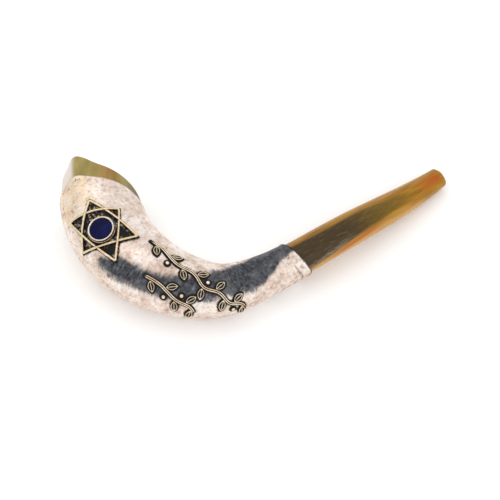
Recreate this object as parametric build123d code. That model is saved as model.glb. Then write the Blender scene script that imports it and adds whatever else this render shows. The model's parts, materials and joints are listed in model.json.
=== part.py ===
from build123d import *

import copy
import math
import os

# Decorated shofar: a bored ram's horn in a silver sleeve, with a star, a set stone and a vine in relief.
#
# The horn lies on its side on the plane Z = 0, mouth to the right (+X), bell to the left and away (+Y).
# Every size is in millimetres and every angle in degrees.

# ---- Horn ----
MOUTH_END = (128.0, 66.0)       # centre of the mouth, on the table plane
MOUTH_HEADING = -137.5          # direction in which the horn leaves the mouth
BENDS = [                       # the centreline's runs, mouth to bell: length, turn to the right
    (131.0, 11.5),
    (37.0, 8.5),
    (19.0, 26.0),
    (150.0, 115.0),
]
STATIONS = [                    # distance along the centreline, half width of the bare horn
    (0.0, 7.2),
    (20.0, 8.7),
    (40.0, 10.0),
    (60.0, 11.0),
    (80.0, 11.7),
    (100.0, 12.0),
    (120.0, 12.2),
    (140.0, 12.8),
    (160.0, 14.6),
    (180.0, 17.4),
    (200.0, 20.3),
    (220.0, 22.8),
    (240.0, 24.4),
    (260.0, 25.3),
    (280.0, 25.8),
    (300.0, 26.2),
    (330.0, 27.0),
]
FLATNESS_AT_MOUTH = 0.92        # half height over half width
FLATNESS_LOSS = 0.14            # how much of that is lost by the bell
BELL_AT = 300.0
ARCH_HEIGHT = 6.0               # the mouth run stands this far off the table at its middle
ARCH_SPAN = 184.0
SKIN_FULL_AT = 140.0            # from here on the height allows for the sleeve's full thickness
KEEL_FROM = 272.0               # a keel rises on the bell's outer shoulder
KEEL_SPAN = 40.0
KEEL_HEIGHT = 0.25              # share of the section's own radius
KEEL_ANGLE = 58.5
KEEL_SPREAD = 18.0
RING_POINTS = 18

# ---- Bore and bell ----
HOLLOW_WALLS = [                # distance along the centreline, wall thickness round the hollow
    (76.0, 8.2),
    (110.0, 7.0),
    (140.0, 6.0),
    (180.0, 5.4),
    (225.0, 4.6),
    (275.0, 3.8),
    (330.0, 3.4),
]
HOLLOW_RINGS = 13
HOLLOW_KEEL = 1.15              # the hollow follows the keel by this share
BORE_RADIUS = 3.0
BORE_END = 79.0
CUP_RADIUS = 5.2
CUP_DEPTH = 7.0
RIM_AT = 298.0                  # where the bell's cut crosses the centreline
RIM_LEAN = 22.5                 # how far its top leans forward
RIM_SWING = -19.7               # how far it is turned towards the inside of the bend

# ---- Sleeve ----
BEDDING = 0.4                   # resin between horn and silver
SILVER = 0.8
SKIN = BEDDING + SILVER
SLEEVE_MOUTH_EDGE = [           # the sleeve's end in plan: distance along, distance outwards
    (129.0, -18.0),
    (126.5, -7.0),
    (123.5, 7.0),
    (121.5, 12.0),
    (116.5, 17.0),
]
SLEEVE_BELL_AT = 284.0          # the sleeve's edge at the bell, cut in the same way
SLEEVE_BELL_LEAN = 26.4
SLEEVE_BELL_SWING = -18.2
BEDDING_SET_BACK = 1.5

# ---- Star and stone ----
STAR_AT = (256.5, 70.0)         # distance along the centreline, angle round the section
STAR_TIPS = [                   # hand-laid: direction and reach of each tip, on the plane at the centre
    (-138.0, 24.0),
    (-66.0, 19.0),
    (-12.0, 25.0),
    (33.0, 25.5),
    (97.0, 19.0),
    (169.0, 24.5),
]
STAR_BULGE = 1.8                # the sides bow outwards where they bend over the horn
STAR_WIRE = 1.7
PLATE = 0.6
PLATE_MARGIN = 0.5
WIRE_HEIGHT = 1.6
COLLAR_RADIUS = 9.3             # low ring soldered round the foot of the bezel
COLLAR_WALL = 0.6
COLLAR_TOP = 1.6                # heights above the sleeve under the star's centre
BEZEL_RADIUS = 8.6
BEZEL_WALL = 0.9
BEZEL_TOP = 3.2
BEZEL_LIP = 0.35
STONE_SEAT = 1.5
STONE_EDGE = 1.1
STONE_CROWN = 0.5
FOOT = -5.0                     # round tools start this far under the sleeve's surface
REACH = 14.0                    # how far a tool drawn on a tangent plane reaches through the curved skin

# ---- Vine ----
RELIEF = 1.3
GROOVE = 0.6
STEM_WIDTH = 1.9
STEM_GROOVE = 0.7
STEM_SOLDER = 0.03              # film of solder under the stems
STEM_WAVE = 1.2                 # the stems swing this far to each side
UPPER_STEM = [                  # distance along the centreline, angle round the section
    (230.0, 110.0),
    (217.5, 106.0),
    (205.5, 98.0),
    (194.5, 84.0),
    (184.0, 62.0),
    (175.5, 38.0),
    (168.0, 8.0),
]
LOWER_STEM = [
    (220.0, 57.0),
    (208.5, 48.0),
    (199.0, 35.0),
    (191.5, 12.0),
]
STEM_SECTIONS = 22
UPPER_WAVES = 3.5
LOWER_WAVES = 1.5
LEAF_LENGTH = 7.8
LEAF_WIDTH = 4.0
LEAF_SHOULDER = 0.42            # widest point, as a share of the length
LEAF_RIM = 0.7
LEAF_RIB = 0.5
LEAF_SPREAD = 52.0              # angle between a leaf and its stem
LEAF_GAP = 1.15                 # from the stem's middle to the leaf's foot
UPPER_LEAVES = 9
LOWER_LEAVES = 5
BERRY_RADIUS = 1.5
BERRY_OFF_STEM = 4.0
UPPER_BERRIES = [               # share of the stem's run, side
    (0.18, -1),
    (0.51, 1),
    (0.84, -1),
]
LOWER_BERRIES = [
    (0.35, -1),
    (0.56, 1),
]

Z_UP = Vector(0, 0, 1)


def centreline():
    """The horn's centreline on the table plane, as tangent arcs."""
    start = Vector(*MOUTH_END, 0)
    tangent = Vector(1, 0, 0).rotate(Axis.Z, MOUTH_HEADING)
    runs = []
    for length, turn in BENDS:
        radius = length / math.radians(turn)
        run = JernArc(start=start, tangent=tangent, radius=radius, arc_size=-turn)
        runs.append(run)
        start, tangent = run @ 1, run % 1
    return Wire(runs)


CENTRE = centreline()


def interpolated(table, along):
    """The value of a table at one distance, on straight lines between its rows."""
    rows = sorted(table)
    for (s0, v0), (s1, v1) in zip(rows, rows[1:]):
        if along <= s1:
            return v0 + (v1 - v0) * (along - s0) / (s1 - s0)
    return rows[-1][1]


def frame_at(along):
    """Plan point, heading and outward side of the horn at a distance from the mouth."""
    point = CENTRE.position_at(along, position_mode=PositionMode.LENGTH)
    heading = CENTRE.tangent_at(along, position_mode=PositionMode.LENGTH)
    return point, heading, Z_UP.cross(heading)


def half_height(along, half_width):
    """Half height of the bare horn where its half width is known."""
    return half_width * (FLATNESS_AT_MOUTH - FLATNESS_LOSS * along / BELL_AT)


def centre_height(along):
    """Height of the centreline: the sleeve rests on the table and the mouth run arches over it."""
    own = half_height(along, interpolated(STATIONS, along))
    skin = SKIN * min(1.0, along / SKIN_FULL_AT)
    arch = ARCH_HEIGHT * math.sin(math.pi * min(1.0, along / ARCH_SPAN)) ** 2
    return own + skin + arch


def keel(along, angle):
    """Share by which the bell's keel raises the section at an angle."""
    growth = max(0.0, (along - KEEL_FROM) / KEEL_SPAN) ** 1.5
    return KEEL_HEIGHT * growth * math.exp(-(((angle - KEEL_ANGLE) / KEEL_SPREAD) ** 2))


def ring(along, half_width, high, keel_share=1.0):
    """One closed section of the horn, in the upright plane across its heading."""
    point, _, outward = frame_at(along)
    centre = point + Z_UP * centre_height(along)
    corners = []
    for i in range(RING_POINTS):
        angle = i * 360.0 / RING_POINTS
        turn = math.radians(angle)
        grow = 1 + keel_share * keel(along, angle)
        sideways = outward * (half_width * math.cos(turn) * grow)
        corners.append(centre + sideways + Z_UP * (high * math.sin(turn) * grow))
    return Wire([Spline(*corners, periodic=True)])


def swollen_horn(offset):
    """The solid outer form of the horn, grown outwards by an offset."""
    rings = [ring(s, a + offset, half_height(s, a) + offset) for s, a in STATIONS]
    return Solid.make_loft(rings)


def hollow_form():
    """The solid form of the horn's natural hollow."""
    rings = []
    first, last = HOLLOW_WALLS[0][0], HOLLOW_WALLS[-1][0]
    for i in range(HOLLOW_RINGS + 1):
        along = first + (last - first) * i / HOLLOW_RINGS
        outer = interpolated(STATIONS, along)
        inner = outer - interpolated(HOLLOW_WALLS, along)
        rings.append(ring(along, inner, half_height(along, outer) * inner / outer, HOLLOW_KEEL))
    return Solid.make_loft(rings)


def cut_plane(along, lean, swing):
    """A plane across the horn, swung about the upright and with its top tipped towards the bell."""
    point, heading, outward = frame_at(along)
    turn, tip = math.radians(swing), math.radians(lean)
    facing = heading * math.cos(turn) + outward * math.sin(turn)
    normal = facing * math.cos(tip) - Z_UP * math.sin(tip)
    origin = point + Z_UP * centre_height(along)
    return Plane(origin=origin, x_dir=Z_UP.cross(facing), z_dir=normal)


def beyond(plane):
    """The block that cuts away everything past a plane at the bell."""
    return plane * Box(110, 130, 90, align=(Align.CENTER, Align.CENTER, Align.MIN))


def bore_axis():
    """The straight line that the bore is drilled on, from the mouth into the horn."""
    start = frame_at(0.0)[0] + Z_UP * centre_height(0.0)
    target = frame_at(BORE_END)[0] + Z_UP * centre_height(BORE_END)
    return Axis(start, target - start)


def single(shape):
    """The one solid that a result holds."""
    return shape.solids().sort_by(SortBy.VOLUME)[-1]


# ---- Horn and sleeve ----

def mouth_cup(axis):
    """The tool for the funnel that the lips press on and the straight bore behind it."""
    plane = Plane(origin=axis.position, z_dir=axis.direction)
    length = frame_at(0.0)[0].sub(frame_at(BORE_END)[0]).length
    bore = Cylinder(BORE_RADIUS, length, align=(Align.CENTER, Align.CENTER, Align.MIN))
    steep = (CUP_RADIUS - BORE_RADIUS) / CUP_DEPTH
    cup = Cone(
        CUP_RADIUS + 2 * steep,
        BORE_RADIUS,
        CUP_DEPTH + 2,
        align=(Align.CENTER, Align.CENTER, Align.MIN),
    )
    return [plane * bore, plane * Pos(0, 0, -2) * cup]


def build_horn(outer):
    """The ram's horn: cut square at the mouth, aslant at the bell, bored and hollow."""
    body = outer - beyond(cut_plane(RIM_AT, RIM_LEAN, RIM_SWING))
    body = body - hollow_form()
    for tool in mouth_cup(bore_axis()):
        body = body - tool
    return single(body)


def mouth_edge_tool(set_back):
    """The block that trims the sleeve at the mouth end, its face following the edge in plan."""
    points = []
    for along, across in SLEEVE_MOUTH_EDGE:
        point, _, outward = frame_at(along + set_back)
        points.append(point + outward * across)
    for along, across in ((-40.0, 60.0), (-40.0, -60.0)):
        point, heading, outward = frame_at(0.0)
        points.append(point + heading * along + outward * across)
    outline = Polyline(*points, close=True)
    return Pos(0, 0, -5) * extrude(make_face(outline), amount=80, dir=(0, 0, 1))


def trimmed_skin(outer, inner, set_back):
    """A skin round the horn, cut to the sleeve's length at both ends."""
    kept = outer - mouth_edge_tool(set_back)
    bell_edge = cut_plane(SLEEVE_BELL_AT - set_back, SLEEVE_BELL_LEAN, SLEEVE_BELL_SWING)
    kept = kept - beyond(bell_edge)
    return single(kept - inner)


# ---- Work on the sleeve's surface ----

def surface_point(along, angle):
    """A point on the sleeve's outer surface."""
    point, _, outward = frame_at(along)
    width = interpolated(STATIONS, along)
    turn = math.radians(angle)
    grow = 1 + keel(along, angle)
    sideways = outward * ((width + SKIN) * math.cos(turn) * grow)
    up = (half_height(along, width) + SKIN) * math.sin(turn) * grow
    return point + sideways + Z_UP * (centre_height(along) + up)


def surface_plane(along, angle, turn=0.0):
    """A plane touching the sleeve: x towards the bell, turned about the outward normal."""
    step = 1.5
    ahead = surface_point(along + step, angle) - surface_point(along - step, angle)
    round_it = surface_point(along, angle - step) - surface_point(along, angle + step)
    normal = ahead.cross(round_it)
    plane = Plane(origin=surface_point(along, angle), x_dir=ahead, z_dir=normal)
    return plane.rotated((0, 0, turn))


def between(tool, inner, outer):
    """The part of a tool that lies between two grown forms of the horn."""
    return (tool & outer) - inner


def raised(plane, face, inner, outer, reach=REACH):
    """A flat outline, laid on a plane, turned into metal between two grown forms."""
    tool = extrude(plane * face, amount=reach, both=True)
    return between(tool, inner, outer)


# ---- Star ----

def tip_points(first):
    """Every second tip of the star, on its own plane."""
    points = []
    for angle, reach in STAR_TIPS[first::2]:
        turn = math.radians(angle)
        points.append((reach * math.cos(turn), reach * math.sin(turn)))
    return points


def triangle(first):
    """The filled outline of one of the star's triangles, its sides bowed outwards."""
    tips = [Vector(*tip) for tip in tip_points(first)]
    sides = []
    for here, there in zip(tips, tips[1:] + tips[:1]):
        middle = (here + there) * 0.5
        sides.append(ThreePointArc(here, middle + middle.normalized() * STAR_BULGE, there))
    return make_face(sides)


def wire_outline(first):
    """The outline of one triangle's wire."""
    whole = triangle(first)
    return whole - offset(whole, -STAR_WIRE, kind=Kind.INTERSECTION)


def crossing_angle(face):
    """Direction of a crossing from the star's centre."""
    spot = face.center()
    return math.atan2(spot.Y, spot.X)


def build_star(plane, low, middle, high):
    """Two triangles of wire, half-lapped where they cross, each going over and under in turn."""
    crossings = (wire_outline(0) & wire_outline(1)).faces()
    crossings = sorted(crossings, key=crossing_angle)
    wires = [
        raised(plane, wire_outline(0), low, high),
        raised(plane, wire_outline(1), low, high),
    ]
    for i, crossing in enumerate(crossings):
        tool = extrude(plane * crossing, amount=REACH, both=True)
        under, over = i % 2, (i + 1) % 2
        wires[under] = wires[under] - (tool - middle)
        wires[over] = wires[over] - (tool & middle)
    return [single(wire) for wire in wires]


def build_plate(plane, sleeve_form, plate_form):
    """The darkened plate under the star."""
    outline = offset(triangle(0) + triangle(1), PLATE_MARGIN, kind=Kind.ARC)
    return single(raised(plane, outline, sleeve_form, plate_form))


def turned(plane, corners):
    """A solid of revolution about a plane's normal, from radius and height pairs."""
    profile = Plane.XZ * make_face(Polyline(*corners, close=True))
    return plane * revolve(profile, axis=Axis.Z)


def build_collar(plane, plate_form):
    """The low ring round the foot of the bezel."""
    inner = COLLAR_RADIUS - COLLAR_WALL
    corners = [
        (inner, FOOT),
        (COLLAR_RADIUS, FOOT),
        (COLLAR_RADIUS, COLLAR_TOP - 0.3),
        (COLLAR_RADIUS - 0.3, COLLAR_TOP),
        (inner, COLLAR_TOP),
    ]
    return single(turned(plane, corners) - plate_form)


def build_bezel(plane, plate_form):
    """The bezel: a cup with a floor under the stone and a lip pressed over its edge."""
    inner = BEZEL_RADIUS - BEZEL_WALL
    lip_under = STONE_SEAT + STONE_EDGE
    corners = [
        (0, FOOT),
        (BEZEL_RADIUS, FOOT),
        (BEZEL_RADIUS, BEZEL_TOP - 0.3),
        (BEZEL_RADIUS - 0.3, BEZEL_TOP),
        (inner, BEZEL_TOP),
        (inner - BEZEL_LIP, BEZEL_TOP - 0.2),
        (inner - BEZEL_LIP, lip_under + 0.1),
        (inner, lip_under),
        (inner, STONE_SEAT),
        (0, STONE_SEAT),
    ]
    return single(turned(plane, corners) - plate_form)


def build_stone(plane):
    """The stone: a low cabochon sitting on the bezel's floor."""
    radius = BEZEL_RADIUS - BEZEL_WALL
    height = STONE_EDGE + STONE_CROWN
    dome = (radius ** 2 + STONE_CROWN ** 2) / (2 * STONE_CROWN)
    disc = Cylinder(radius, height, align=(Align.CENTER, Align.CENTER, Align.MIN))
    stone = disc & Pos(0, 0, height - dome) * Sphere(dome)
    return single(plane * (Pos(0, 0, STONE_SEAT) * stone))


# ---- Vine ----

def stem_seat(line, waves, share, sleeve_form):
    """A point on the sleeve at a share of a stem's run, and the outward direction there."""
    here = line.position_at(min(1.0, max(0.0, share)))
    plane = surface_plane(here.X, here.Y)
    ahead = line.tangent_at(min(1.0, max(0.0, share)))
    run = surface_point(here.X + ahead.X, here.Y + ahead.Y) - plane.origin
    side = plane.z_dir.cross(run).normalized()
    swing = STEM_WAVE * math.sin(2 * math.pi * waves * share)
    near = Vertex(*(plane.origin + side * swing))
    return sleeve_form.distance_to_with_closest_points(near)[1], plane.z_dir


def stem_frame(line, waves, share, sleeve_form):
    """The plane on the sleeve at a share of a stem's run: x along the stem, z outwards."""
    seat, normal = stem_seat(line, waves, share, sleeve_form)
    behind, _ = stem_seat(line, waves, share - 0.01, sleeve_form)
    ahead, _ = stem_seat(line, waves, share + 0.01, sleeve_form)
    run = ahead - behind
    return Plane(origin=seat, x_dir=run - normal * run.dot(normal), z_dir=normal)


def build_stem(line, waves, sleeve_form):
    """A stem: a raised strip with a groove down its middle, following the sleeve."""
    half, slot = STEM_WIDTH / 2, STEM_GROOVE / 2
    floor = RELIEF - GROOVE
    corners = [
        (-half, STEM_SOLDER),
        (half, STEM_SOLDER),
        (half, RELIEF),
        (slot, RELIEF),
        (slot, floor),
        (-slot, floor),
        (-slot, RELIEF),
        (-half, RELIEF),
    ]
    rings = []
    for i in range(STEM_SECTIONS + 1):
        plane = stem_frame(line, waves, i / STEM_SECTIONS, sleeve_form)
        facing = Plane(origin=plane.origin, x_dir=plane.y_dir, z_dir=plane.x_dir)
        rings.append(facing * Polyline(*corners, close=True))
    return Solid.make_loft([Wire(ring.edges()) for ring in rings])


def leaf_outline():
    """A pointed leaf along x, its foot at the origin."""
    upper = ThreePointArc((0, 0), (LEAF_SHOULDER * LEAF_LENGTH, LEAF_WIDTH / 2), (LEAF_LENGTH, 0))
    lower = ThreePointArc((LEAF_LENGTH, 0), (LEAF_SHOULDER * LEAF_LENGTH, -LEAF_WIDTH / 2), (0, 0))
    return make_face(upper + lower)


def build_leaf(plane, side, sleeve_form, relief_form, groove_form):
    """A leaf: a raised outline with a rim, a rib and sunk fields between them."""
    place = Rot(0, 0, side * LEAF_SPREAD) * Pos(LEAF_GAP / math.sin(math.radians(LEAF_SPREAD)), 0)
    outline = leaf_outline()
    fields = offset(outline, -LEAF_RIM, kind=Kind.INTERSECTION)
    fields = fields - Pos(LEAF_LENGTH / 2, 0) * Rectangle(2 * LEAF_LENGTH, LEAF_RIB)
    leaf = raised(plane, place * outline, sleeve_form, relief_form, 5.0)
    tools = extrude(plane * (place * fields), amount=5.0, both=True)
    return single(leaf - (tools - groove_form))


def build_berry(plane, side, sleeve_form):
    """A berry: a low round boss beside the stem."""
    sides = Polyline((0, BERRY_RADIUS), (0, -1), (BERRY_RADIUS, -1), (BERRY_RADIUS, 0))
    half_way = BERRY_RADIUS * math.sqrt(0.5)
    dome = ThreePointArc((BERRY_RADIUS, 0), (half_way, half_way), (0, BERRY_RADIUS))
    profile = Plane.XZ * make_face(sides + dome)
    boss = revolve(profile, axis=Axis.Z)
    return single(plane * Pos(0, side * BERRY_OFF_STEM, 0) * boss - sleeve_form)


def build_vine(name, path, waves, leaves, berries, forms):
    """One branch: a stem, leaves left and right of it by turns, and a few berries."""
    sleeve_form = forms[0]
    line = Spline(*path)
    pieces = {f"{name}_stem": build_stem(line, waves, sleeve_form)}
    for i in range(leaves):
        share = (i + 0.35) / leaves
        side = 1 if i % 2 else -1
        plane = stem_frame(line, waves, share, sleeve_form)
        pieces[f"{name}_leaf_{i + 1}"] = build_leaf(plane, side, *forms)
    for i, (share, side) in enumerate(berries):
        plane = stem_frame(line, waves, share, sleeve_form)
        pieces[f"{name}_berry_{i + 1}"] = build_berry(plane, side, sleeve_form)
    return pieces


# ---- Assembly ----

def build_all():
    """Every piece of the shofar by name, in the frame of the centreline."""
    bare = swollen_horn(0.0)
    bedded = swollen_horn(BEDDING)
    sleeved = swollen_horn(SKIN)
    plated = swollen_horn(SKIN + PLATE)
    wire_middle = swollen_horn(SKIN + PLATE + WIRE_HEIGHT / 2)
    wire_top = swollen_horn(SKIN + PLATE + WIRE_HEIGHT)
    forms = (sleeved, swollen_horn(SKIN + RELIEF), swollen_horn(SKIN + RELIEF - GROOVE))
    star_plane = surface_plane(*STAR_AT)
    star_wires = build_star(star_plane, plated, wire_middle, wire_top)
    pieces = {
        "horn": build_horn(bare),
        "sleeve_bedding": trimmed_skin(bedded, bare, BEDDING_SET_BACK),
        "silver_sleeve": trimmed_skin(sleeved, bedded, 0.0),
        "star_plate": build_plate(star_plane, sleeved, plated),
        "star_triangle_outer": star_wires[0],
        "star_triangle_inner": star_wires[1],
        "bezel_collar": build_collar(star_plane, plated),
        "bezel": build_bezel(star_plane, plated),
        "stone": build_stone(star_plane),
    }
    pieces |= build_vine("upper", UPPER_STEM, UPPER_WAVES, UPPER_LEAVES, UPPER_BERRIES, forms)
    pieces |= build_vine("lower", LOWER_STEM, LOWER_WAVES, LOWER_LEAVES, LOWER_BERRIES, forms)
    return pieces


def main():
    """Build the pieces, move the origin under the middle of their box, and write them out."""
    pieces = build_all()
    box = Compound(children=[copy.copy(piece) for piece in pieces.values()]).bounding_box()
    middle = box.center()
    shift = Pos(-middle.X, -middle.Y, -box.min.Z)
    os.makedirs("parts", exist_ok=True)
    for name, piece in pieces.items():
        export_step(shift * piece, f"parts/{name}.step")
    mouth = bore_axis()
    print("box", box.size, "shift", -middle.X, -middle.Y, -box.min.Z)
    print("bore", shift * Vertex(*mouth.position), mouth.direction)


main()
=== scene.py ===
"""A decorated ram's horn shofar: polished horn in an oxidised silver sleeve with star, stone and vine.

Every class builds one sub-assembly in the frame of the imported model, in metres.
"""

import json
import logging
import math
from dataclasses import dataclass, field
from enum import Enum
from functools import reduce
from typing import Callable, Optional, Sequence, Union

import bpy
import numpy as np
from mathutils import Matrix, Vector, noise
from mathutils.bvhtree import BVHTree
from mathutils.kdtree import KDTree

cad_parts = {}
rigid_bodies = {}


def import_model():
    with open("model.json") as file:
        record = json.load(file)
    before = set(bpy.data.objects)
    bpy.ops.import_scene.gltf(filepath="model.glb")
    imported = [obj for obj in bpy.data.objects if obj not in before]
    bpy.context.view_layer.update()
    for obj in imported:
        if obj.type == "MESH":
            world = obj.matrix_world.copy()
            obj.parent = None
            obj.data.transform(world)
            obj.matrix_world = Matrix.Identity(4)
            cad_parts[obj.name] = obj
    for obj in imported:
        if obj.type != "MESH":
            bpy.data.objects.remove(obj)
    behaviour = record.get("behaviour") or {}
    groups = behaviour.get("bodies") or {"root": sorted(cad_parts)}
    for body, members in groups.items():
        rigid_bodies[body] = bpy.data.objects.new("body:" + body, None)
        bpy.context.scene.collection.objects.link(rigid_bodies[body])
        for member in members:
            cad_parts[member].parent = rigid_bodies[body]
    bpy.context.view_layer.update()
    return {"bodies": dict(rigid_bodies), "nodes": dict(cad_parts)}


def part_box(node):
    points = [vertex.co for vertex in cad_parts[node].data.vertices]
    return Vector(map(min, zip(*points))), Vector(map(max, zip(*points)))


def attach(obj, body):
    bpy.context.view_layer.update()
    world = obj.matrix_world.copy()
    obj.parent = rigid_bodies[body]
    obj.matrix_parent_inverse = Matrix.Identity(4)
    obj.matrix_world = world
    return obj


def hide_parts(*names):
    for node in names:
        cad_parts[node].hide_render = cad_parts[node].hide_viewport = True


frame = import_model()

LOG = logging.getLogger("shofar")
MM = 0.001

Array, Piece, Finish = np.ndarray, bpy.types.Object, bpy.types.Material
Number = Union[int, float]
Triple = tuple[float, float, float]


# ---------------------------------------------------------------- node building

def operator(kind: str, swapped: bool = False) -> Callable:
    """A method that adds one Math node of a kind; swapped puts the other value first."""

    def method(self: "Socket", other: object) -> "Socket":
        """The node's result."""
        values = (other, self) if swapped else (self, other)
        return self.tree.add("ShaderNodeMath", {"operation": kind}, *values)

    return method


class Socket:
    """An output socket that can be used in arithmetic; each operation adds a Math node."""

    __add__, __radd__ = operator("ADD"), operator("ADD", True)
    __sub__, __rsub__ = operator("SUBTRACT"), operator("SUBTRACT", True)
    __mul__, __rmul__ = operator("MULTIPLY"), operator("MULTIPLY", True)
    __truediv__, __rtruediv__ = operator("DIVIDE"), operator("DIVIDE", True)
    __pow__ = operator("POWER")
    larger = operator("MAXIMUM")

    def __init__(self, tree: "Tree", socket: bpy.types.NodeSocket) -> None:
        """Args: tree: the tree it belongs to. socket: the output wrapped."""
        self.tree = tree
        self.socket = socket

    def __abs__(self) -> "Socket":
        """Absolute value."""
        return self.tree.add("ShaderNodeMath", {"operation": "ABSOLUTE"}, self)

    def clamp(self) -> "Socket":
        """The value held between 0 and 1."""
        return self.tree.add("ShaderNodeClamp", {}, self)

    def step(self, low: Number, high: Number) -> "Socket":
        """A smooth rise from 0 at low to 1 at high.

        Args:
            low: where the rise starts (above high for a fall).
            high: where it ends.
        Returns:
            The mask.
        """
        settings = {"interpolation_type": "SMOOTHSTEP"}
        if low <= high:
            return self.tree.add("ShaderNodeMapRange", settings, self, low, high)
        return 1 - self.tree.add("ShaderNodeMapRange", settings, self, high, low)

    def bump(self, centre: Number, width: Number) -> "Socket":
        """A smooth hill of height 1 round a centre.

        Args:
            centre: where the hill stands.
            width: distance from its top to its foot.
        Returns:
            The mask.
        """
        return abs(self - centre).step(width, 0)


class Tree:
    """A node tree with one way of adding and joining nodes."""

    def __init__(self, nodes: bpy.types.NodeTree) -> None:
        """Args: nodes: the tree to fill."""
        self.nodes = nodes

    def raw(self, kind: str, settings: dict, *values: object, **named: object) -> bpy.types.Node:
        """Adds a node.

        Args:
            kind: the node's type name.
            settings: properties set before any socket.
            values: values or links for the first inputs, in order.
            named: values or links by input name, spaces written as underscores.
        Returns:
            The node.
        """
        node = self.nodes.nodes.new(kind)
        for key, value in settings.items():
            setattr(node, key, value)
        for socket, value in zip(node.inputs, values):
            self.feed(socket, value)
        for key, value in named.items():
            wanted = key.replace("_", " ")
            socket = next(s for s in node.inputs if s.name == wanted and s.enabled)
            self.feed(socket, value)
        return node

    def add(self, kind: str, settings: dict, *values: object, out: int = 0, **named: object) -> Socket:
        """Adds a node and wraps one of its outputs; arguments as for raw()."""
        return Socket(self, self.raw(kind, settings, *values, **named).outputs[out])

    def feed(self, socket: bpy.types.NodeSocket, value: object) -> None:
        """Links or sets one input.

        Args:
            socket: the input.
            value: a Socket, or a plain value.
        """
        if isinstance(value, Socket):
            self.nodes.links.new(value.socket, socket)
        elif value is not None:
            socket.default_value = value


class Shader(Tree):
    """A surface material's tree, with the patterns that the finishes share."""

    def __init__(self, name: str) -> None:
        """Args: name: the material's name."""
        self.material = bpy.data.materials.new(name)
        self.material.use_nodes = True
        super().__init__(self.material.node_tree)
        self.surface = next(n for n in self.nodes.nodes if n.type == "BSDF_PRINCIPLED")
        self.place = self.add("ShaderNodeTexCoord", {}, out=3)

    def attribute(self, name: str) -> Socket:
        """A number stored on the piece's points."""
        return self.add("ShaderNodeAttribute", {"attribute_name": name}, out=2)

    def attributes(self, names: str) -> list[Socket]:
        """Several stored numbers, their names given as one line of words."""
        return [self.attribute(name) for name in names.split()]

    def round_horn(self, stretch: Number, reach: Number) -> Socket:
        """Coordinates along the horn and round it on a circle, so that a pattern has no seam.

        Args:
            stretch: scale of the distance along.
            reach: radius of the circle; a small one draws a pattern out round the horn.
        Returns:
            The vector.
        """
        along, side, top = self.attributes("along side top")
        return self.add("ShaderNodeCombineXYZ", {}, along * stretch, side * reach, top * reach)

    def noise(self, vector: Socket, scale: Number, detail: Number = 3, roughness: Number = 0.5) -> Socket:
        """Noise between about 0 and 1.

        Args:
            vector: coordinates.
            scale: features per unit.
            detail: octaves.
            roughness: strength of the finer octaves.
        Returns:
            The value.
        """
        settings = {"noise_dimensions": "3D"}
        return self.add(
            "ShaderNodeTexNoise", settings, Vector=vector, Scale=scale, Detail=detail, Roughness=roughness
        )

    def mix(self, factor: object, first: object, second: object) -> Socket:
        """Blends two colours.

        Args:
            factor: 0 for the first, 1 for the second.
            first: colour or link.
            second: colour or link.
        Returns:
            The colour.
        """
        node = self.raw("ShaderNodeMix", {"data_type": "RGBA"})
        colours = [s for s in node.inputs if s.type == "RGBA"]
        self.feed(node.inputs[0], factor)
        self.feed(colours[0], first)
        self.feed(colours[1], second)
        return Socket(self, next(s for s in node.outputs if s.type == "RGBA"))

    def coats(self, colour: object, *coats: tuple) -> Socket:
        """Lays coats over a colour; each is a mask and a colour."""
        for mask, paint in coats:
            colour = self.mix(mask, colour, paint)
        return colour

    def ramp(self, factor: Socket, *stops: tuple) -> Socket:
        """A colour for each value; each stop is a position with red, green and blue as for tone()."""
        node = self.raw("ShaderNodeValToRGB", {})
        band = node.color_ramp
        while len(band.elements) < len(stops):
            band.elements.new(0.5)
        for element, (position, *colour) in zip(band.elements, stops):
            element.position = position
            element.color = tone(*colour)
        self.feed(node.inputs[0], factor)
        return Socket(self, node.outputs[0])

    def relief(
        self, height: Socket, distance: Number, strength: Number, before: Optional[Socket] = None
    ) -> Socket:
        """A Bump node.

        Args:
            height: the height pattern, 0 to 1.
            distance: how deep a height of 1 is, in metres.
            strength: how much of it is used.
            before: the normal it adds to.
        Returns:
            The normal.
        """
        given = {"Strength": strength, "Distance": distance, "Height": height, "Normal": before}
        return self.add("ShaderNodeBump", {}, **given)

    def finish(self, **inputs: object) -> Finish:
        """Sets the surface's inputs, spaces written as underscores, and returns the material."""
        for key, value in inputs.items():
            self.feed(self.surface.inputs[key.replace("_", " ")], value)
        return self.material


def tone(red: Number, green: Number, blue: Number) -> tuple:
    """A colour given in display values from 0 to 255, as linear light with an alpha of 1."""
    parts = []
    for value in (red, green, blue):
        share = value / 255
        parts.append(share / 12.92 if share <= 0.04045 else ((share + 0.055) / 1.055) ** 2.4)
    return (*parts, 1.0)


# ---------------------------------------------------------------- the horn's form

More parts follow.
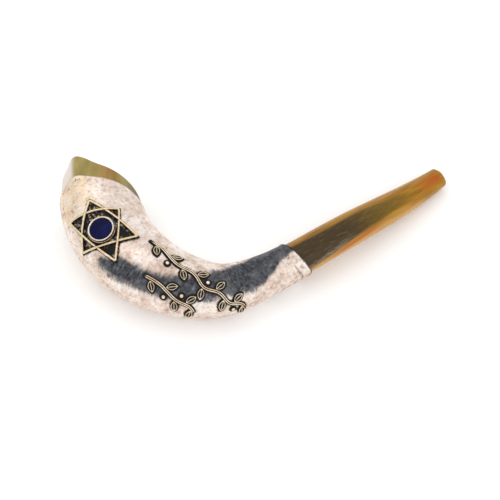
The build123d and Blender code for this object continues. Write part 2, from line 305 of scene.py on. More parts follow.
@dataclass(frozen=True)
class HornForm:
    """The form that the horn and everything on it follows. Lengths in metres, angles in degrees.

    along is the distance from the mouth on the centreline. angle runs round the section:
    0 is the outside of the bend, 90 the top and 180 the inside.
    """

    mouth: tuple[float, float] = (0.128, 0.066)
    heading: float = -137.5
    bends: tuple = ((0.131, 11.5), (0.037, 8.5), (0.019, 26.0), (0.150, 115.0))
    stations: tuple = (
        0.0, 0.02, 0.04, 0.06, 0.08, 0.10, 0.12, 0.14, 0.16,
        0.18, 0.20, 0.22, 0.24, 0.26, 0.28, 0.30, 0.33,
    )
    widths: tuple = (
        7.2, 8.7, 10.0, 11.0, 11.7, 12.0, 12.2, 12.8, 14.6,
        17.4, 20.3, 22.8, 24.4, 25.3, 25.8, 26.2, 27.0,
    )
    flatness: tuple[float, float] = (0.92, 0.14)
    arch: tuple[float, float] = (0.006, 0.184)
    skin: float = 0.0012
    bedding: float = 0.0004
    keel_run: tuple[float, float] = (0.272, 0.040)
    keel_height: float = 0.25
    keel_angle: tuple[float, float] = (58.5, 18.0)
    hollow_at: tuple = (0.076, 0.110, 0.140, 0.180, 0.225, 0.275, 0.330)
    hollow_wall: tuple = (8.2, 7.0, 6.0, 5.4, 4.6, 3.8, 3.4)
    rim_cut: Triple = (0.298, 22.5, -19.7)
    sleeve_edge_along: tuple = (0.129, 0.1265, 0.1235, 0.1215, 0.1165)
    sleeve_edge_across: tuple = (-0.018, -0.007, 0.007, 0.012, 0.017)
    sleeve_bell: Triple = (0.284, 26.4, -18.2)
    shift: Triple = (0.0, 0.0, 0.0)

    def centre(self, along: Array) -> tuple[Array, Array]:
        """Plan points and headings on the centreline.

        Args:
            along: distances.
        Returns:
            Points as an array of x, y and z, and headings in radians.
        """
        along = np.asarray(along, float)
        points = np.zeros(along.shape + (3,))
        headings = np.zeros(along.shape)
        x, y = self.mouth
        heading = math.radians(self.heading)
        start = 0.0
        for i, (length, turn) in enumerate(self.bends):
            rate = -math.radians(turn) / length
            last = i == len(self.bends) - 1
            inside = (along >= start) & (last | (along < start + length))
            if i == 0:
                inside = inside | (along < 0)
            h = heading + rate * (along - start)
            points[..., 0] = np.where(inside, x + (np.sin(h) - math.sin(heading)) / rate, points[..., 0])
            points[..., 1] = np.where(inside, y - (np.cos(h) - math.cos(heading)) / rate, points[..., 1])
            headings = np.where(inside, h, headings)
            end = heading + rate * length
            x += (math.sin(end) - math.sin(heading)) / rate
            y -= (math.cos(end) - math.cos(heading)) / rate
            heading, start = end, start + length
        points[..., 2] = self.height(along)
        return points + np.array(self.shift), headings

    def half_sizes(self, along: Array) -> tuple[Array, Array]:
        """Half width and half height of the bare horn at distances along it."""
        s = np.array(self.stations)
        w = np.array(self.widths) * MM
        slope = np.gradient(w, s)
        i = np.clip(np.searchsorted(s, along, side="right") - 1, 0, len(s) - 2)
        run = s[i + 1] - s[i]
        t = (along - s[i]) / run
        width = (
            (2 * t**3 - 3 * t**2 + 1) * w[i]
            + (t**3 - 2 * t**2 + t) * run * slope[i]
            + (-2 * t**3 + 3 * t**2) * w[i + 1]
            + (t**3 - t**2) * run * slope[i + 1]
        )
        share = self.flatness[0] - self.flatness[1] * np.asarray(along) / 0.3
        return width, width * share

    def height(self, along: Array) -> Array:
        """Height of the centreline over the table."""
        _, own = self.half_sizes(along)
        rise, span = self.arch
        arch = rise * np.sin(math.pi * np.clip(along / span, 0, 1)) ** 2
        return own + self.skin * np.clip(along / 0.14, 0, 1) + arch

    def keel(self, along: Array, angle: Array) -> Array:
        """Share by which the bell's keel raises the section."""
        start, span = self.keel_run
        middle, spread = self.keel_angle
        away = (np.asarray(angle) - middle + 180) % 360 - 180
        growth = np.clip((along - start) / span, 0, None) ** 1.5
        return self.keel_height * growth * np.exp(-((away / spread) ** 2))

    def place(self, along: Array, angle: Array, across: Array, up: Array, keel: Number = 1.0) -> Array:
        """Points of an elliptical section.

        Args:
            along: distances.
            angle: angles round the section.
            across: half widths.
            up: half heights.
            keel: share of the keel used.
        Returns:
            Points.
        """
        along, angle = np.broadcast_arrays(np.asarray(along, float), np.asarray(angle, float))
        points, heading = self.centre(along)
        grow = 1 + keel * self.keel(along, angle)
        turn = np.radians(angle)
        outward = np.stack([-np.sin(heading), np.cos(heading), 0 * heading], -1)
        result = points + outward * (across * np.cos(turn) * grow)[..., None]
        result[..., 2] += up * np.sin(turn) * grow
        return result

    def outer(self, along: Array, angle: Array, offset: Number = 0.0) -> Array:
        """Points on the outside of the horn, lifted by an offset."""
        width, high = self.half_sizes(along)
        return self.place(along, angle, width + offset, high + offset)

    def inner(self, along: Array, angle: Array) -> Array:
        """Points on the wall of the hollow."""
        width, high = self.half_sizes(along)
        wall = np.interp(along, self.hollow_at, self.hollow_wall) * MM
        return self.place(along, angle, width - wall, high * (width - wall) / width, 1.15)

    def normal(self, along: Array, angle: Array, offset: Number = 0.0) -> Array:
        """Outward directions on the skin."""
        ahead = self.outer(along + 0.0005, angle, offset) - self.outer(along - 0.0005, angle, offset)
        round_it = self.outer(along, angle + 0.5, offset) - self.outer(along, angle - 0.5, offset)
        direction = np.cross(round_it, ahead)
        direction /= np.linalg.norm(direction, axis=-1, keepdims=True)
        middle, _ = self.centre(np.asarray(along, float))
        facing = np.sum(direction * (self.outer(along, angle, offset) - middle), -1, keepdims=True)
        return direction * np.sign(facing)

    def across_cut(self, cut: Triple, angle: Array, wall: Callable) -> Array:
        """Where a skin meets a plane across the horn.

        Args:
            cut: where the plane crosses the centreline, how far its top leans towards the bell,
                and how far it is swung about the upright.
            angle: angles round the section.
            wall: function of along and angle that gives the skin's points.
        Returns:
            Distances along, one for each angle.
        """
        at, lean, swing = cut[0], math.radians(cut[1]), math.radians(cut[2])
        middle, heading = self.centre(np.array(at))
        facing = heading + swing
        level = math.cos(lean)
        normal = np.array([math.cos(facing) * level, math.sin(facing) * level, -math.sin(lean)])
        low = np.full_like(angle, at - 0.034)
        high = np.full_like(angle, at + 0.031)
        for _ in range(40):
            half = (low + high) / 2
            past = np.sum((wall(half, angle) - middle) * normal, -1) > 0
            high = np.where(past, half, high)
            low = np.where(past, low, half)
        return (low + high) / 2

    def rim(self, angle: Array, inside: bool = False) -> Array:
        """Where the bell's cut meets the outer or the inner wall."""
        return self.across_cut(self.rim_cut, angle, self.inner if inside else self.outer)

    def sleeve_to(self, angle: Array, offset: Number) -> Array:
        """Where the sleeve ends at the bell."""
        return self.across_cut(self.sleeve_bell, angle, lambda along, turn: self.outer(along, turn, offset))

    def sleeve_from(self, angle: Array, offset: Number) -> Array:
        """Where the sleeve ends towards the mouth."""
        along = np.full_like(angle, 0.122)
        for _ in range(6):
            width, _ = self.half_sizes(along)
            across = (width + offset) * np.cos(np.radians(angle))
            along = np.interp(across, self.sleeve_edge_across, self.sleeve_edge_along)
        return along


def placed_form() -> HornForm:
    """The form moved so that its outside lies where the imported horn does."""
    bare = HornForm()
    angles = np.arange(0, 360, 3.0)
    rows = [bare.outer(share * bare.rim(angles), angles) for share in np.linspace(0, 1, 120)]
    low = np.array(rows).reshape(-1, 3).min(0)
    corner = np.array(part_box("horn")[0])
    return HornForm(shift=tuple(float(v) for v in corner - low))


FORM = placed_form()
SKIN = FORM.skin
PLATE = 0.0006              # thickness of the star's plate
STAR_AT = (0.2565, 70.0)    # the star's middle: distance along and angle


# ---------------------------------------------------------------- meshes

def smoothstep(value: Array, low: Number, high: Number) -> Array:
    """A smooth rise from 0 at low to 1 at high; low may be the higher one."""
    t = np.clip((value - low) / (high - low), 0, 1)
    return t * t * (3 - 2 * t)


def speckle(points: Array, size: Number, octaves: int = 2, seed: Number = 0.0) -> Array:
    """Smooth noise between about -1 and 1.

    Args:
        points: array of x, y and z in metres.
        size: width of its features, in metres.
        octaves: number of finer layers.
        seed: offset that gives another pattern.
    Returns:
        One value for each point.
    """
    flat = points.reshape(-1, 3) / size + seed
    values = [noise.fractal(Vector(p), 1.0, 2.0, octaves) for p in flat]
    return np.array(values).reshape(points.shape[:-1])


def store(mesh: bpy.types.Mesh, name: str, values: Array, kind: str = "FLOAT") -> None:
    """Stores numbers or vectors on a mesh's points."""
    layer = mesh.attributes.new(name, kind, "POINT")
    flat = np.ascontiguousarray(values, np.float32).ravel()
    layer.data.foreach_set("value" if kind == "FLOAT" else "vector", flat)


def points_of(mesh: bpy.types.Mesh) -> Array:
    """A mesh's points as an array."""
    flat = np.zeros(len(mesh.vertices) * 3, np.float32)
    mesh.vertices.foreach_get("co", flat)
    return flat.reshape(-1, 3).astype(float)


def point_tree(points: Array) -> KDTree:
    """A search tree over points."""
    tree = KDTree(len(points))
    for i, point in enumerate(points):
        tree.insert(point, i)
    tree.balance()
    return tree


def paint(node: str, finish: Finish) -> None:
    """Gives a CAD node that stays in view a material."""
    materials = frame["nodes"][node].data.materials
    materials.clear()
    materials.append(finish)


def add_mesh(name: str, vertices: Array, edges: Sequence, faces: Sequence) -> Piece:
    """A new mesh object in the scene, smooth all over."""
    mesh = bpy.data.meshes.new(name)
    mesh.from_pydata([tuple(map(float, v)) for v in vertices], [tuple(map(int, e)) for e in edges], faces)
    if len(mesh.polygons):
        mesh.polygons.foreach_set("use_smooth", [True] * len(mesh.polygons))
    piece = bpy.data.objects.new(name, mesh)
    bpy.context.scene.collection.objects.link(piece)
    return piece


def ring_quads(rows: int, columns: int, loop: bool) -> list:
    """Faces between neighbouring rings of points; loop also joins the last ring to the first."""
    row = np.arange(rows if loop else rows - 1)[:, None]
    column = np.arange(columns)[None, :]
    here, ahead = row * columns, ((row + 1) % rows) * columns
    side = (column + 1) % columns
    return np.stack([here + column, here + side, ahead + side, ahead + column], -1).reshape(-1, 4).tolist()


def ring_mesh(name: str, rings: Array, values: Optional[dict] = None, loop: bool = True) -> Piece:
    """A closed mesh from rings of points.

    Args:
        name: the object's name.
        rings: rows of points, each row a closed ring.
        values: numbers to store for each point, by attribute name.
        loop: True joins the last ring to the first; False closes both ends with a pole.
    Returns:
        The object, with its faces outward.
    """
    rows, columns = rings.shape[:2]
    vertices = rings.reshape(-1, 3)
    faces = ring_quads(rows, columns, loop)
    if not loop:
        poles = np.array([rings[0].mean(0), rings[-1].mean(0)])
        vertices = np.concatenate([vertices, poles])
        first, last = rows * columns, rows * columns + 1
        faces += [[first, (c + 1) % columns, c] for c in range(columns)]
        end = (rows - 1) * columns
        faces += [[last, end + c, end + (c + 1) % columns] for c in range(columns)]
    corner = vertices[[f[0] for f in faces]]
    area = np.cross(vertices[[f[1] for f in faces]] - corner, vertices[[f[2] for f in faces]] - corner)
    if np.sum(corner * area) < 0:
        faces = [f[::-1] for f in faces]
    piece = add_mesh(name, vertices, [], faces)
    for key, value in (values or {}).items():
        flat = np.asarray(value, float).ravel()
        if not loop:
            flat = np.concatenate([flat, [value[0].mean(), value[-1].mean()]])
        store(piece.data, key, flat)
    return piece


class Slot(Enum):
    """The record's material slots, named when finished pieces are dressed."""

    HORN = "horn"
    SILVER = "silver"
    GILT = "gilt_silver"
    RELIEF = "relief_silver"
    STONE = "stone"


def dress(piece: Piece, finish: Finish, slot: Slot, *nodes: str) -> Piece:
    """Gives a finished piece its material, its body and the CAD nodes it stands for.

    Args:
        piece: the object.
        finish: its material.
        slot: the record's material slot; not used.
        nodes: CAD nodes it replaces.
    Returns:
        The object.
    """
    piece.data.materials.clear()
    piece.data.materials.append(finish)
    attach(piece, next(iter(frame["bodies"])))
    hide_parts(*nodes)
    LOG.info("%s: %d faces, stands for %s", piece.name, len(piece.data.polygons), ", ".join(nodes))
    return piece


def nodes_named(start: str) -> list[str]:
    """The CAD nodes whose names start so, in order."""
    return sorted(n for n in frame["nodes"] if n.startswith(start))


class Growth(Tree):
    """A Geometry Nodes tree that ends by realizing its instances and setting the material."""

    def __init__(self, name: str, **inputs: object) -> None:
        """Args: name: the tree's name. inputs: its inputs and their values."""
        super().__init__(bpy.data.node_groups.new(name, "GeometryNodeTree"))
        face = self.nodes.interface
        face.new_socket("Geometry", in_out="INPUT", socket_type="NodeSocketGeometry")
        face.new_socket("Geometry", in_out="OUTPUT", socket_type="NodeSocketGeometry")
        self.settings = {}
        for key, value in inputs.items():
            kind = "NodeSocketMaterial" if isinstance(value, Finish) else "NodeSocketFloat"
            if isinstance(value, int):
                kind = "NodeSocketInt"
            socket = face.new_socket(key, in_out="INPUT", socket_type=kind)
            self.settings[socket.identifier] = value
        self.group = self.nodes.nodes.new("NodeGroupInput")
        self.out = self.nodes.nodes.new("NodeGroupOutput")
        self.start = Socket(self, self.group.outputs[0])

    def given(self, name: str) -> Socket:
        """One of the tree's inputs."""
        return Socket(self, self.group.outputs[name])

    def number(self, name: str) -> Socket:
        """A number stored on the points."""
        return self.add("GeometryNodeInputNamedAttribute", {"data_type": "FLOAT"}, name)

    def vector(self, name: str) -> Socket:
        """A vector stored on the points."""
        return self.add("GeometryNodeInputNamedAttribute", {"data_type": "FLOAT_VECTOR"}, name)

    def grow(self, piece: Piece, result: Socket) -> Piece:
        """Ends the tree, runs it on a piece and keeps the plain mesh that it makes.

        Args:
            piece: object whose mesh goes in.
            result: the geometry to realize.
        Returns:
            The same object with its new mesh.
        """
        real = self.add("GeometryNodeRealizeInstances", {}, result)
        smooth = self.add("GeometryNodeSetShadeSmooth", {}, real)
        painted = self.add("GeometryNodeSetMaterial", {}, smooth, Material=self.given("Finish"))
        self.feed(self.out.inputs[0], painted)
        modifier = piece.modifiers.new("Growth", "NODES")
        modifier.node_group = self.nodes
        for key, value in self.settings.items():
            modifier[key] = value
        graph = bpy.context.evaluated_depsgraph_get()
        ready = piece.evaluated_get(graph)
        mesh = bpy.data.meshes.new_from_object(ready, preserve_all_data_layers=True, depsgraph=graph)
        piece.modifiers.clear()
        piece.data = mesh
        return piece


class Surface:
    """The outside of the grown horn as a solid surface that ornaments are laid on."""

    def __init__(self, offset: float) -> None:
        """Args: offset: lift over the bare horn, in metres."""
        along = np.linspace(0.11, 0.31, 260)[:, None]
        angle = np.arange(0, 360, 2.0)[None, :]
        points = FORM.outer(along, angle, offset)
        self.tree = BVHTree.FromPolygons(points.reshape(-1, 3).tolist(), ring_quads(*points.shape[:2], False))
        self.spine, _ = FORM.centre(np.linspace(0.1, 0.32, 300))
        self.core = point_tree(self.spine)

    def nearest(self, point: Array) -> tuple[Array, Array]:
        """The nearest point on it and the outward normal there."""
        place, normal, _, _ = self.tree.find_nearest(Vector(point))
        middle = Vector(self.spine[self.core.find(place)[1]])
        if normal.dot(place - middle) < 0:
            normal = -normal
        return np.array(place), np.array(normal)

    def drop(self, spot: "Spot", x: Number, y: Number) -> tuple[Array, Array]:
        """Where a line through a spot's plane, at right angles to it, meets the surface, and the normal."""
        above = Vector(spot.put(x, y, 0.02))
        place, normal, _, _ = self.tree.ray_cast(above, Vector(-spot.z))
        return np.array(place), np.array(normal) * np.sign(np.dot(np.array(normal), spot.z))

    def heights(self, points: Array) -> Array:
        """How high points stand over it; below it counts as negative."""
        result = []
        for point in points:
            place, normal = self.nearest(point)
            result.append(float(np.dot(point - place, normal)))
        return np.array(result)


@dataclass(frozen=True)
class Spot:
    """A plane touching the sleeve: x towards the bell, y across, z outward. Positions in metres."""

    origin: Array
    x: Array
    y: Array
    z: Array

    @classmethod
    def at(cls, along: float, angle: float) -> "Spot":
        """The plane at a distance along and an angle round the sleeve."""
        step, turn = 0.0015, 1.5
        at = lambda s, t: FORM.outer(np.array(s), np.array(t), SKIN)
        origin = at(along, angle)
        ahead = at(along + step, angle) - at(along - step, angle)
        round_it = at(along, angle - turn) - at(along, angle + turn)
        z = np.cross(ahead, round_it)
        x, z = ahead / np.linalg.norm(ahead), z / np.linalg.norm(z)
        return cls(origin, x, np.cross(z, x), z)

    def put(self, x: Number, y: Number, z: Number = 0.0) -> Array:
        """A point given on the plane, as a place in the frame."""
        return self.origin + self.x * x + self.y * y + self.z * z


# ---------------------------------------------------------------- finishes

@dataclass(frozen=True)
class RamHorn:
    """Polished horn: amber at the mouth, a dark wedge near the sleeve, olive at the bell."""

    grain: float = 900.0
    roughness: float = 0.16

    def build(self) -> Finish:
        """The material; it reads the masks that the horn stores on its points."""
        s = Shader("ram_horn")
        along, pale, red, wedge, wedge_edge, streak = s.attributes("along pale red wedge wedge_edge streak")
        rust, shade, face, at_bell, hollow = s.attributes("rust shade face bell hollow")
        skin = s.round_horn(0.16, 0.012)
        fibre = s.noise(skin, self.grain, 4, 0.6)
        broad = s.noise(skin, 260.0, 3, 0.55)
        amber = s.ramp(broad, (0.25, 132, 88, 0), (0.45, 158, 108, 0), (0.6, 174, 124, 4), (0.8, 188, 142, 34))
        brown = s.ramp(fibre, (0.3, 40, 30, 16), (0.55, 66, 50, 22), (0.75, 104, 80, 26))
        dark = s.mix(along.step(0.092, 0.05), brown, s.ramp(fibre, (0.3, 84, 64, 8), (0.7, 126, 98, 14)))
        olive = s.ramp(broad, (0.3, 134, 118, 56), (0.5, 162, 144, 82), (0.7, 188, 170, 110))
        bell = s.coats(
            olive,
            ((rust * (0.4 + fibre)).clamp() * 0.7, tone(156, 106, 52)),
            (shade, tone(110, 102, 76)),
            (face, tone(224, 214, 202)),
        )
        colour = s.coats(
            amber,
            (pale * (0.55 + broad * 0.6), tone(208, 158, 88)),
            (red * (0.4 + broad * 0.8), tone(180, 80, 0)),
            ((wedge + (fibre - 0.5) * 0.55 * wedge_edge).clamp(), dark),
            ((streak * fibre.step(0.35, 0.6)).clamp() * 0.6, tone(160, 140, 110)),
            (at_bell, bell),
            # painted shade: the hollow darkens from the bell towards the deep bore
            (hollow, s.mix(along.step(0.2, 0.1), tone(196, 172, 130), tone(62, 40, 12))),
        )
        fine = (fibre - 0.5) * 0.12 + 0.97
        colour = s.add("ShaderNodeVectorMath", {"operation": "SCALE"}, colour, Scale=fine)
        return s.finish(
            Base_Color=colour,
            Roughness=self.roughness + at_bell * 0.22 + broad * 0.08,
            Normal=s.relief(fibre, 0.00006, 0.35),
            Coat_Weight=0.06, Coat_Roughness=0.08, Specular_IOR_Level=0.22, IOR=1.54,
            Subsurface_Weight=0.06, Subsurface_Radius=(0.003, 0.0016, 0.0007),
        )


@dataclass(frozen=True)
class BrushedSilver:
    """Bright, mottled silver sheet; a dark band of oxide and painted reflection; oxide and painted shade round the
    relief.
    """

    bright: tuple = tone(232, 217, 205)
    lip: float = 0.0011
    roughness: float = 0.34

    def build(self) -> Finish:
        """The material; it reads the masks that the sleeve stores on its points."""
        s = Shader("brushed_silver")
        yellow, worn, band, soot, crease, from_mouth = s.attributes("yellow worn band soot crease edge")
        streak = s.noise(s.round_horn(1.0, 0.006), 850.0, 4, 0.62)
        wide = s.noise(s.place, 90.0, 4, 0.6)
        mottle = s.noise(s.place, 420.0, 5, 0.65)
        grit = s.noise(s.place, 1500.0, 3, 0.6)
        warm = s.ramp(
            wide * 0.55 + mottle * 0.3 + streak * 0.15,
            (0.34, 158, 134, 120), (0.43, 206, 182, 166), (0.5, 232, 214, 202),
            (0.58, 250, 242, 236), (0.68, 214, 188, 158),
        )
        # colour of the dark band: oxide and a painted reflection
        grey = s.ramp(
            streak * 0.55 + mottle * 0.45,
            (0.3, 34, 34, 38), (0.46, 60, 62, 67), (0.57, 86, 88, 93), (0.7, 150, 149, 149),
        )
        grey = s.mix(wide.step(0.46, 0.64) * 0.45, grey, tone(122, 122, 124))
        pits = (mottle.step(0.43, 0.34) * (0.12 + worn * 1.2)).clamp()
        brushed = (streak.step(0.5, 0.68) * wide.step(0.42, 0.56)).clamp()
        edge = 1 - abs(band * 2 - 1)
        ragged = (band + (streak - 0.5) * 1.5 * edge + (wide - 0.5) * 1.6 * edge).clamp()
        # oxide and painted shade: the sheet darkens close to the raised ornaments
        soot = (soot * (0.72 + mottle * 0.6)).clamp()
        lip = from_mouth.step(self.lip, self.lip * 0.3) * (0.4 + mottle)
        colour = s.coats(
            s.mix(0.12, warm, self.bright),
            ((yellow * mottle.step(0.4, 0.56)).clamp() * 0.55, tone(228, 200, 140)),
            (pits * 0.75, tone(92, 74, 62)),
            (brushed * 0.4, tone(128, 116, 108)),
            # the dark band: oxide and painted reflection, with a ragged edge
            (ragged.step(0.08, 0.92), grey),
            # oxide and painted shade round the ornaments
            (soot.step(0.1, 0.85), tone(22, 19, 18)),
            # painted shade in the creases
            ((crease * (0.35 + streak * 1.2)).clamp() * 0.85, tone(46, 44, 46)),
            (lip.clamp(), tone(34, 32, 34)),
        )
        fine = s.relief(grit, 0.00005, 0.5)
        normal = s.relief(mottle, 0.00016, 0.55, fine)
        rough = self.roughness + mottle * 0.16 - ragged * 0.06 + soot * 0.2
        return s.finish(Base_Color=colour, Metallic=0.9 - soot * 0.5, Roughness=rough, Normal=normal)


@dataclass(frozen=True)
class ReliefSilver:
    """Raised metal: gilt, worn bright crests; grooves and flanks dark with oxide and painted shade."""

    crest: tuple = tone(244, 226, 196)
    flank: tuple = tone(22, 18, 16)
    name: str = "relief_silver"
    low: float = 0.6
    high: float = 0.92

    def build(self) -> Finish:
        """The material; it reads the height over the skin that each piece stores."""
        s = Shader(self.name)
        mottle = s.noise(s.place, 900.0, 4, 0.6)
        tint = s.noise(s.place, 260.0, 3, 0.5)
        metal = s.mix(tint.step(0.44, 0.66), self.crest, tone(222, 186, 146))
        metal = s.mix(mottle.step(0.48, 0.66) * 0.7, metal, tone(252, 244, 230))
        height = s.attribute("crest") + (mottle - 0.5) * 0.3
        # oxide and painted shade low on the relief, bright worn metal on the crests, by height
        worn = height.step(self.low, self.high)
        colour = s.mix(worn, self.flank, metal)
        normal = s.relief(mottle, 0.0001, 0.6)
        return s.finish(
            Base_Color=colour, Metallic=0.25 + worn * 0.65, Roughness=0.5 - worn * 0.2, Normal=normal
        )


@dataclass(frozen=True)
class DarkPlate:
    """The ground inside the star: blackened, with dull bright dabs scattered by noise."""

    def build(self) -> Finish:
        """The material."""
        s = Shader("dark_silver")
        mottle = s.noise(s.place, 520.0, 4, 0.65)
        patch = s.noise(s.place, 210.0, 2, 0.5)
        worn = (mottle.step(0.48, 0.62) * patch.step(0.42, 0.56)).clamp()
        colour = s.mix(worn * 0.8, tone(26, 24, 26), tone(196, 178, 160))
        return s.finish(
            Base_Color=colour, Metallic=0.75, Roughness=0.5 - worn * 0.12, Normal=s.relief(mottle, 0.00015, 0.6)
        )


@dataclass(frozen=True)
class Cabochon:
    """The set stone: opaque navy glass, a little clouded."""

    def build(self) -> Finish:
        """The material."""
        s = Shader("stone")
        cloud = s.noise(s.place, 150.0, 3, 0.5)
        colour = s.ramp(cloud, (0.3, 0, 1, 40), (0.5, 0, 4, 62), (0.7, 2, 22, 72))
        rough = 0.24 + cloud * 0.1
        return s.finish(Base_Color=colour, Roughness=rough, Specular_IOR_Level=0.1, IOR=1.5)


@dataclass(frozen=True)
class Resin:
    """The dark bedding that shows as a line at the sleeve's ends."""

    def build(self) -> Finish:
        """The material."""
        s = Shader("resin")
        cloud = s.noise(s.place, 600.0, 3, 0.5)
        colour = s.ramp(cloud, (0.3, 24, 22, 22), (0.7, 44, 40, 36))
        return s.finish(Base_Color=colour, Roughness=0.4 + cloud * 0.2)


@dataclass(frozen=True)
class Backdrop:
    """The plain pale floor."""

    def build(self) -> Finish:
        """The material."""
        s = Shader("backdrop")
        cloud = s.noise(s.place, 3.0, 2, 0.5)
        colour = s.ramp(cloud, (0.3, 252, 252, 252), (0.7, 255, 255, 255))
        return s.finish(
            Base_Color=colour, Roughness=0.9 + cloud * 0.02,
            Emission_Color=(1.0, 1.0, 1.0, 1.0), Emission_Strength=0.1,
        )


# ---------------------------------------------------------------- the horn and its sleeve

def bent(start: Array, control: Array, end: Array, t: float) -> Array:
    """A point, or a row of points, on a quadratic curve."""
    return start * (1 - t) ** 2 + control * 2 * t * (1 - t) + end * t * t


def round_mask(angle: Array, centre: Number, width: Number) -> Array:
    """A smooth hill round the section at an angle in degrees."""
    away = np.abs((angle - centre + 180) % 360 - 180)
    return smoothstep(away, width, 0)


def round_section(along: Array, angle: Array) -> dict:
    """The numbers that the finishes' coordinates are made from."""
    return {"along": along, "side": np.cos(np.radians(angle)), "top": np.sin(np.radians(angle))}


def between_edges(along: Array, angle: Array, upper: dict, lower: dict, soft: Number) -> Array:
    """A mask for the region between two lines drawn on the horn.

    Args:
        along: distances in metres.
        angle: angles in degrees, -180 to 180.
        upper: angle of the upper line by distance in millimetres.
        lower: the same for the lower line.
        soft: width of the blurred edge, in degrees.
    Returns:
        The mask.
    """
    s = along / MM
    high = np.interp(s, list(upper), list(upper.values()))
    low = np.interp(s, list(lower), list(lower.values()))
    inside = np.minimum(high - angle, angle - low)
    ends = smoothstep(s, min(upper) - 1, min(upper) + 1) * smoothstep(s, max(upper) + 1, max(upper) - 1)
    return smoothstep(inside, -soft, soft) * ends


@dataclass
class Horn:
    """The ram's horn: skin, bell rim, hollow, bore, lip cup and mouth, one closed surface."""

    columns: int = 144
    skin_rows: int = 250
    hollow_rows: int = 70
    bore: float = 0.003
    bore_end: float = 0.079
    cup: tuple[float, float] = (0.0052, 0.007)
    bore_short: float = 0.003
    cup_round: float = 0.0004
    lip: float = 0.0006
    rim_round: float = 0.0009

    def bore_ring(self, along: float, radius: float, angle: Array) -> Array:
        """A ring of the straight bore."""
        start, heading = FORM.centre(np.array(0.0))
        end, _ = FORM.centre(np.array(self.bore_end))
        axis = (end - start) / np.linalg.norm(end - start)
        outward = np.array([-math.sin(heading), math.cos(heading), 0.0])
        up = np.cross(axis, outward)
        up *= np.sign(up[2])
        turn = np.radians(angle)[:, None]
        return start + axis * along + (outward * np.cos(turn) + up * np.sin(turn)) * radius

    def rings(self) -> tuple[Array, Array]:
        """Every ring, with the distance along for each point (negative inside)."""
        angle = np.linspace(0, 360, self.columns, endpoint=False)
        outer, inner = FORM.rim(angle), FORM.rim(angle, True)
        corner_out, corner_in = FORM.outer(outer, angle), FORM.inner(inner, angle)
        back_out = FORM.outer(outer - self.rim_round, angle)
        back_in = FORM.inner(inner - self.rim_round, angle)
        inwards = (corner_in - corner_out) / np.linalg.norm(corner_in - corner_out, axis=1)[:, None]
        face_out = corner_out + inwards * self.rim_round
        face_in = corner_in - inwards * self.rim_round
        rows, where = [], []

        def ring(points: Array, at: Union[Number, Array]) -> None:
            """Adds one ring and its distance along."""
            rows.append(points)
            where.append(np.broadcast_to(at, angle.shape))

        for turn in np.radians(np.linspace(0, 90, 5)):
            s = self.lip * (1 - math.cos(turn))
            ring(FORM.outer(s, angle, -self.lip * (1 - math.sin(turn))), s)
        for share in np.linspace(0, 1, self.skin_rows)[1:]:
            s = self.lip + (outer - self.rim_round - self.lip) * share
            ring(FORM.outer(s, angle), s)
        quarters = (0.0, 0.25, 0.5, 0.75, 1.0)
        for t in quarters[1:]:
            ring(bent(back_out, corner_out, face_out, t), outer)
        for t in quarters:
            ring(bent(face_in, corner_in, back_in, t), -inner)
        for share in np.linspace(0, 1, self.hollow_rows)[1:]:
            s = (inner - self.rim_round) * (1 - share) + self.bore_end * share
            ring(FORM.inner(s, angle), -s)
        reach = np.linalg.norm(FORM.centre(np.array(self.bore_end))[0] - FORM.centre(np.array(0.0))[0])
        for s in np.linspace(reach - self.bore_short, self.cup[1], 40):
            ring(self.bore_ring(s, self.bore, angle), -s)
        for share in np.linspace(0, 1, 12)[1:]:
            s = self.cup[1] * (1 - share) + self.cup_round * share
            ring(self.bore_ring(s, self.bore + (self.cup[0] - self.bore) * share, angle), -s)
        ring(self.bore_ring(0.0, self.cup[0] + self.cup_round, angle), 0.0)
        return np.array(rows), np.array(where)

    def masks(self, where: Array, angle: Array) -> dict:
        """Where each of the horn's colours lies.

        Args:
            where: distance along, negative inside.
            angle: angle round the section, -180 to 180.
        Returns:
            Numbers by attribute name.
        """
        along = np.abs(where)
        inside = (where < 0).astype(float)
        s = along / MM
        upper = {18: 66, 40: 92, 70: 106, 103: 106, 126: 112, 145: 114}
        lower = {18: 56, 40: 47, 70: 38, 93: 24, 118: 8, 145: 0}
        wedge = between_edges(along, angle, upper, lower, 8.0)
        core = between_edges(along, angle, upper, lower, -1)
        edge = between_edges(along, angle, upper, lower, 26.0) * (1 - core * 0.4)
        low = np.interp(s, list(lower), list(lower.values()))
        strength = smoothstep(s, 14, 60) * (1 - 0.25 * smoothstep(s, 45, 20))
        streak = smoothstep(np.abs(angle - low - 8), 15, 2) * smoothstep(s, 80, 96) * smoothstep(s, 135, 120)
        red = round_mask(angle, 72, 50) * smoothstep(s, 30, 8) * smoothstep(s, 1, 5)
        line = smoothstep(np.abs(angle - low + 14), 16, 2) * smoothstep(s, 60, 74) * smoothstep(s, 112, 92)
        red = np.maximum(red, 0.8 * line)
        pale = round_mask(angle, -8, 62) * smoothstep(s, 12, 40) * 0.9
        bell = smoothstep(s, 180, 200)
        return {
            **round_section(along, angle),
            "wedge": wedge * strength * (1 - bell),
            "wedge_edge": edge,
            "streak": streak,
            "red": red,
            "pale": pale,
            "bell": bell,
            "rust": round_mask(angle, 104, 26) * (1 - inside),
            "shade": round_mask(angle, 158, 44) * (1 - inside),
            "face": smoothstep(angle, 60, 50) * smoothstep(angle, -80, -20) * bell * (1 - inside),
            "hollow": inside,
        }

    def build(self) -> Piece:
        """The horn."""
        rings, where = self.rings()
        angle = np.broadcast_to(np.linspace(0, 360, self.columns, endpoint=False), where.shape)
        angle = (angle + 180) % 360 - 180
        piece = ring_mesh("horn_body", rings, self.masks(where, angle))
        return dress(piece, RamHorn().build(), Slot.HORN, "horn")


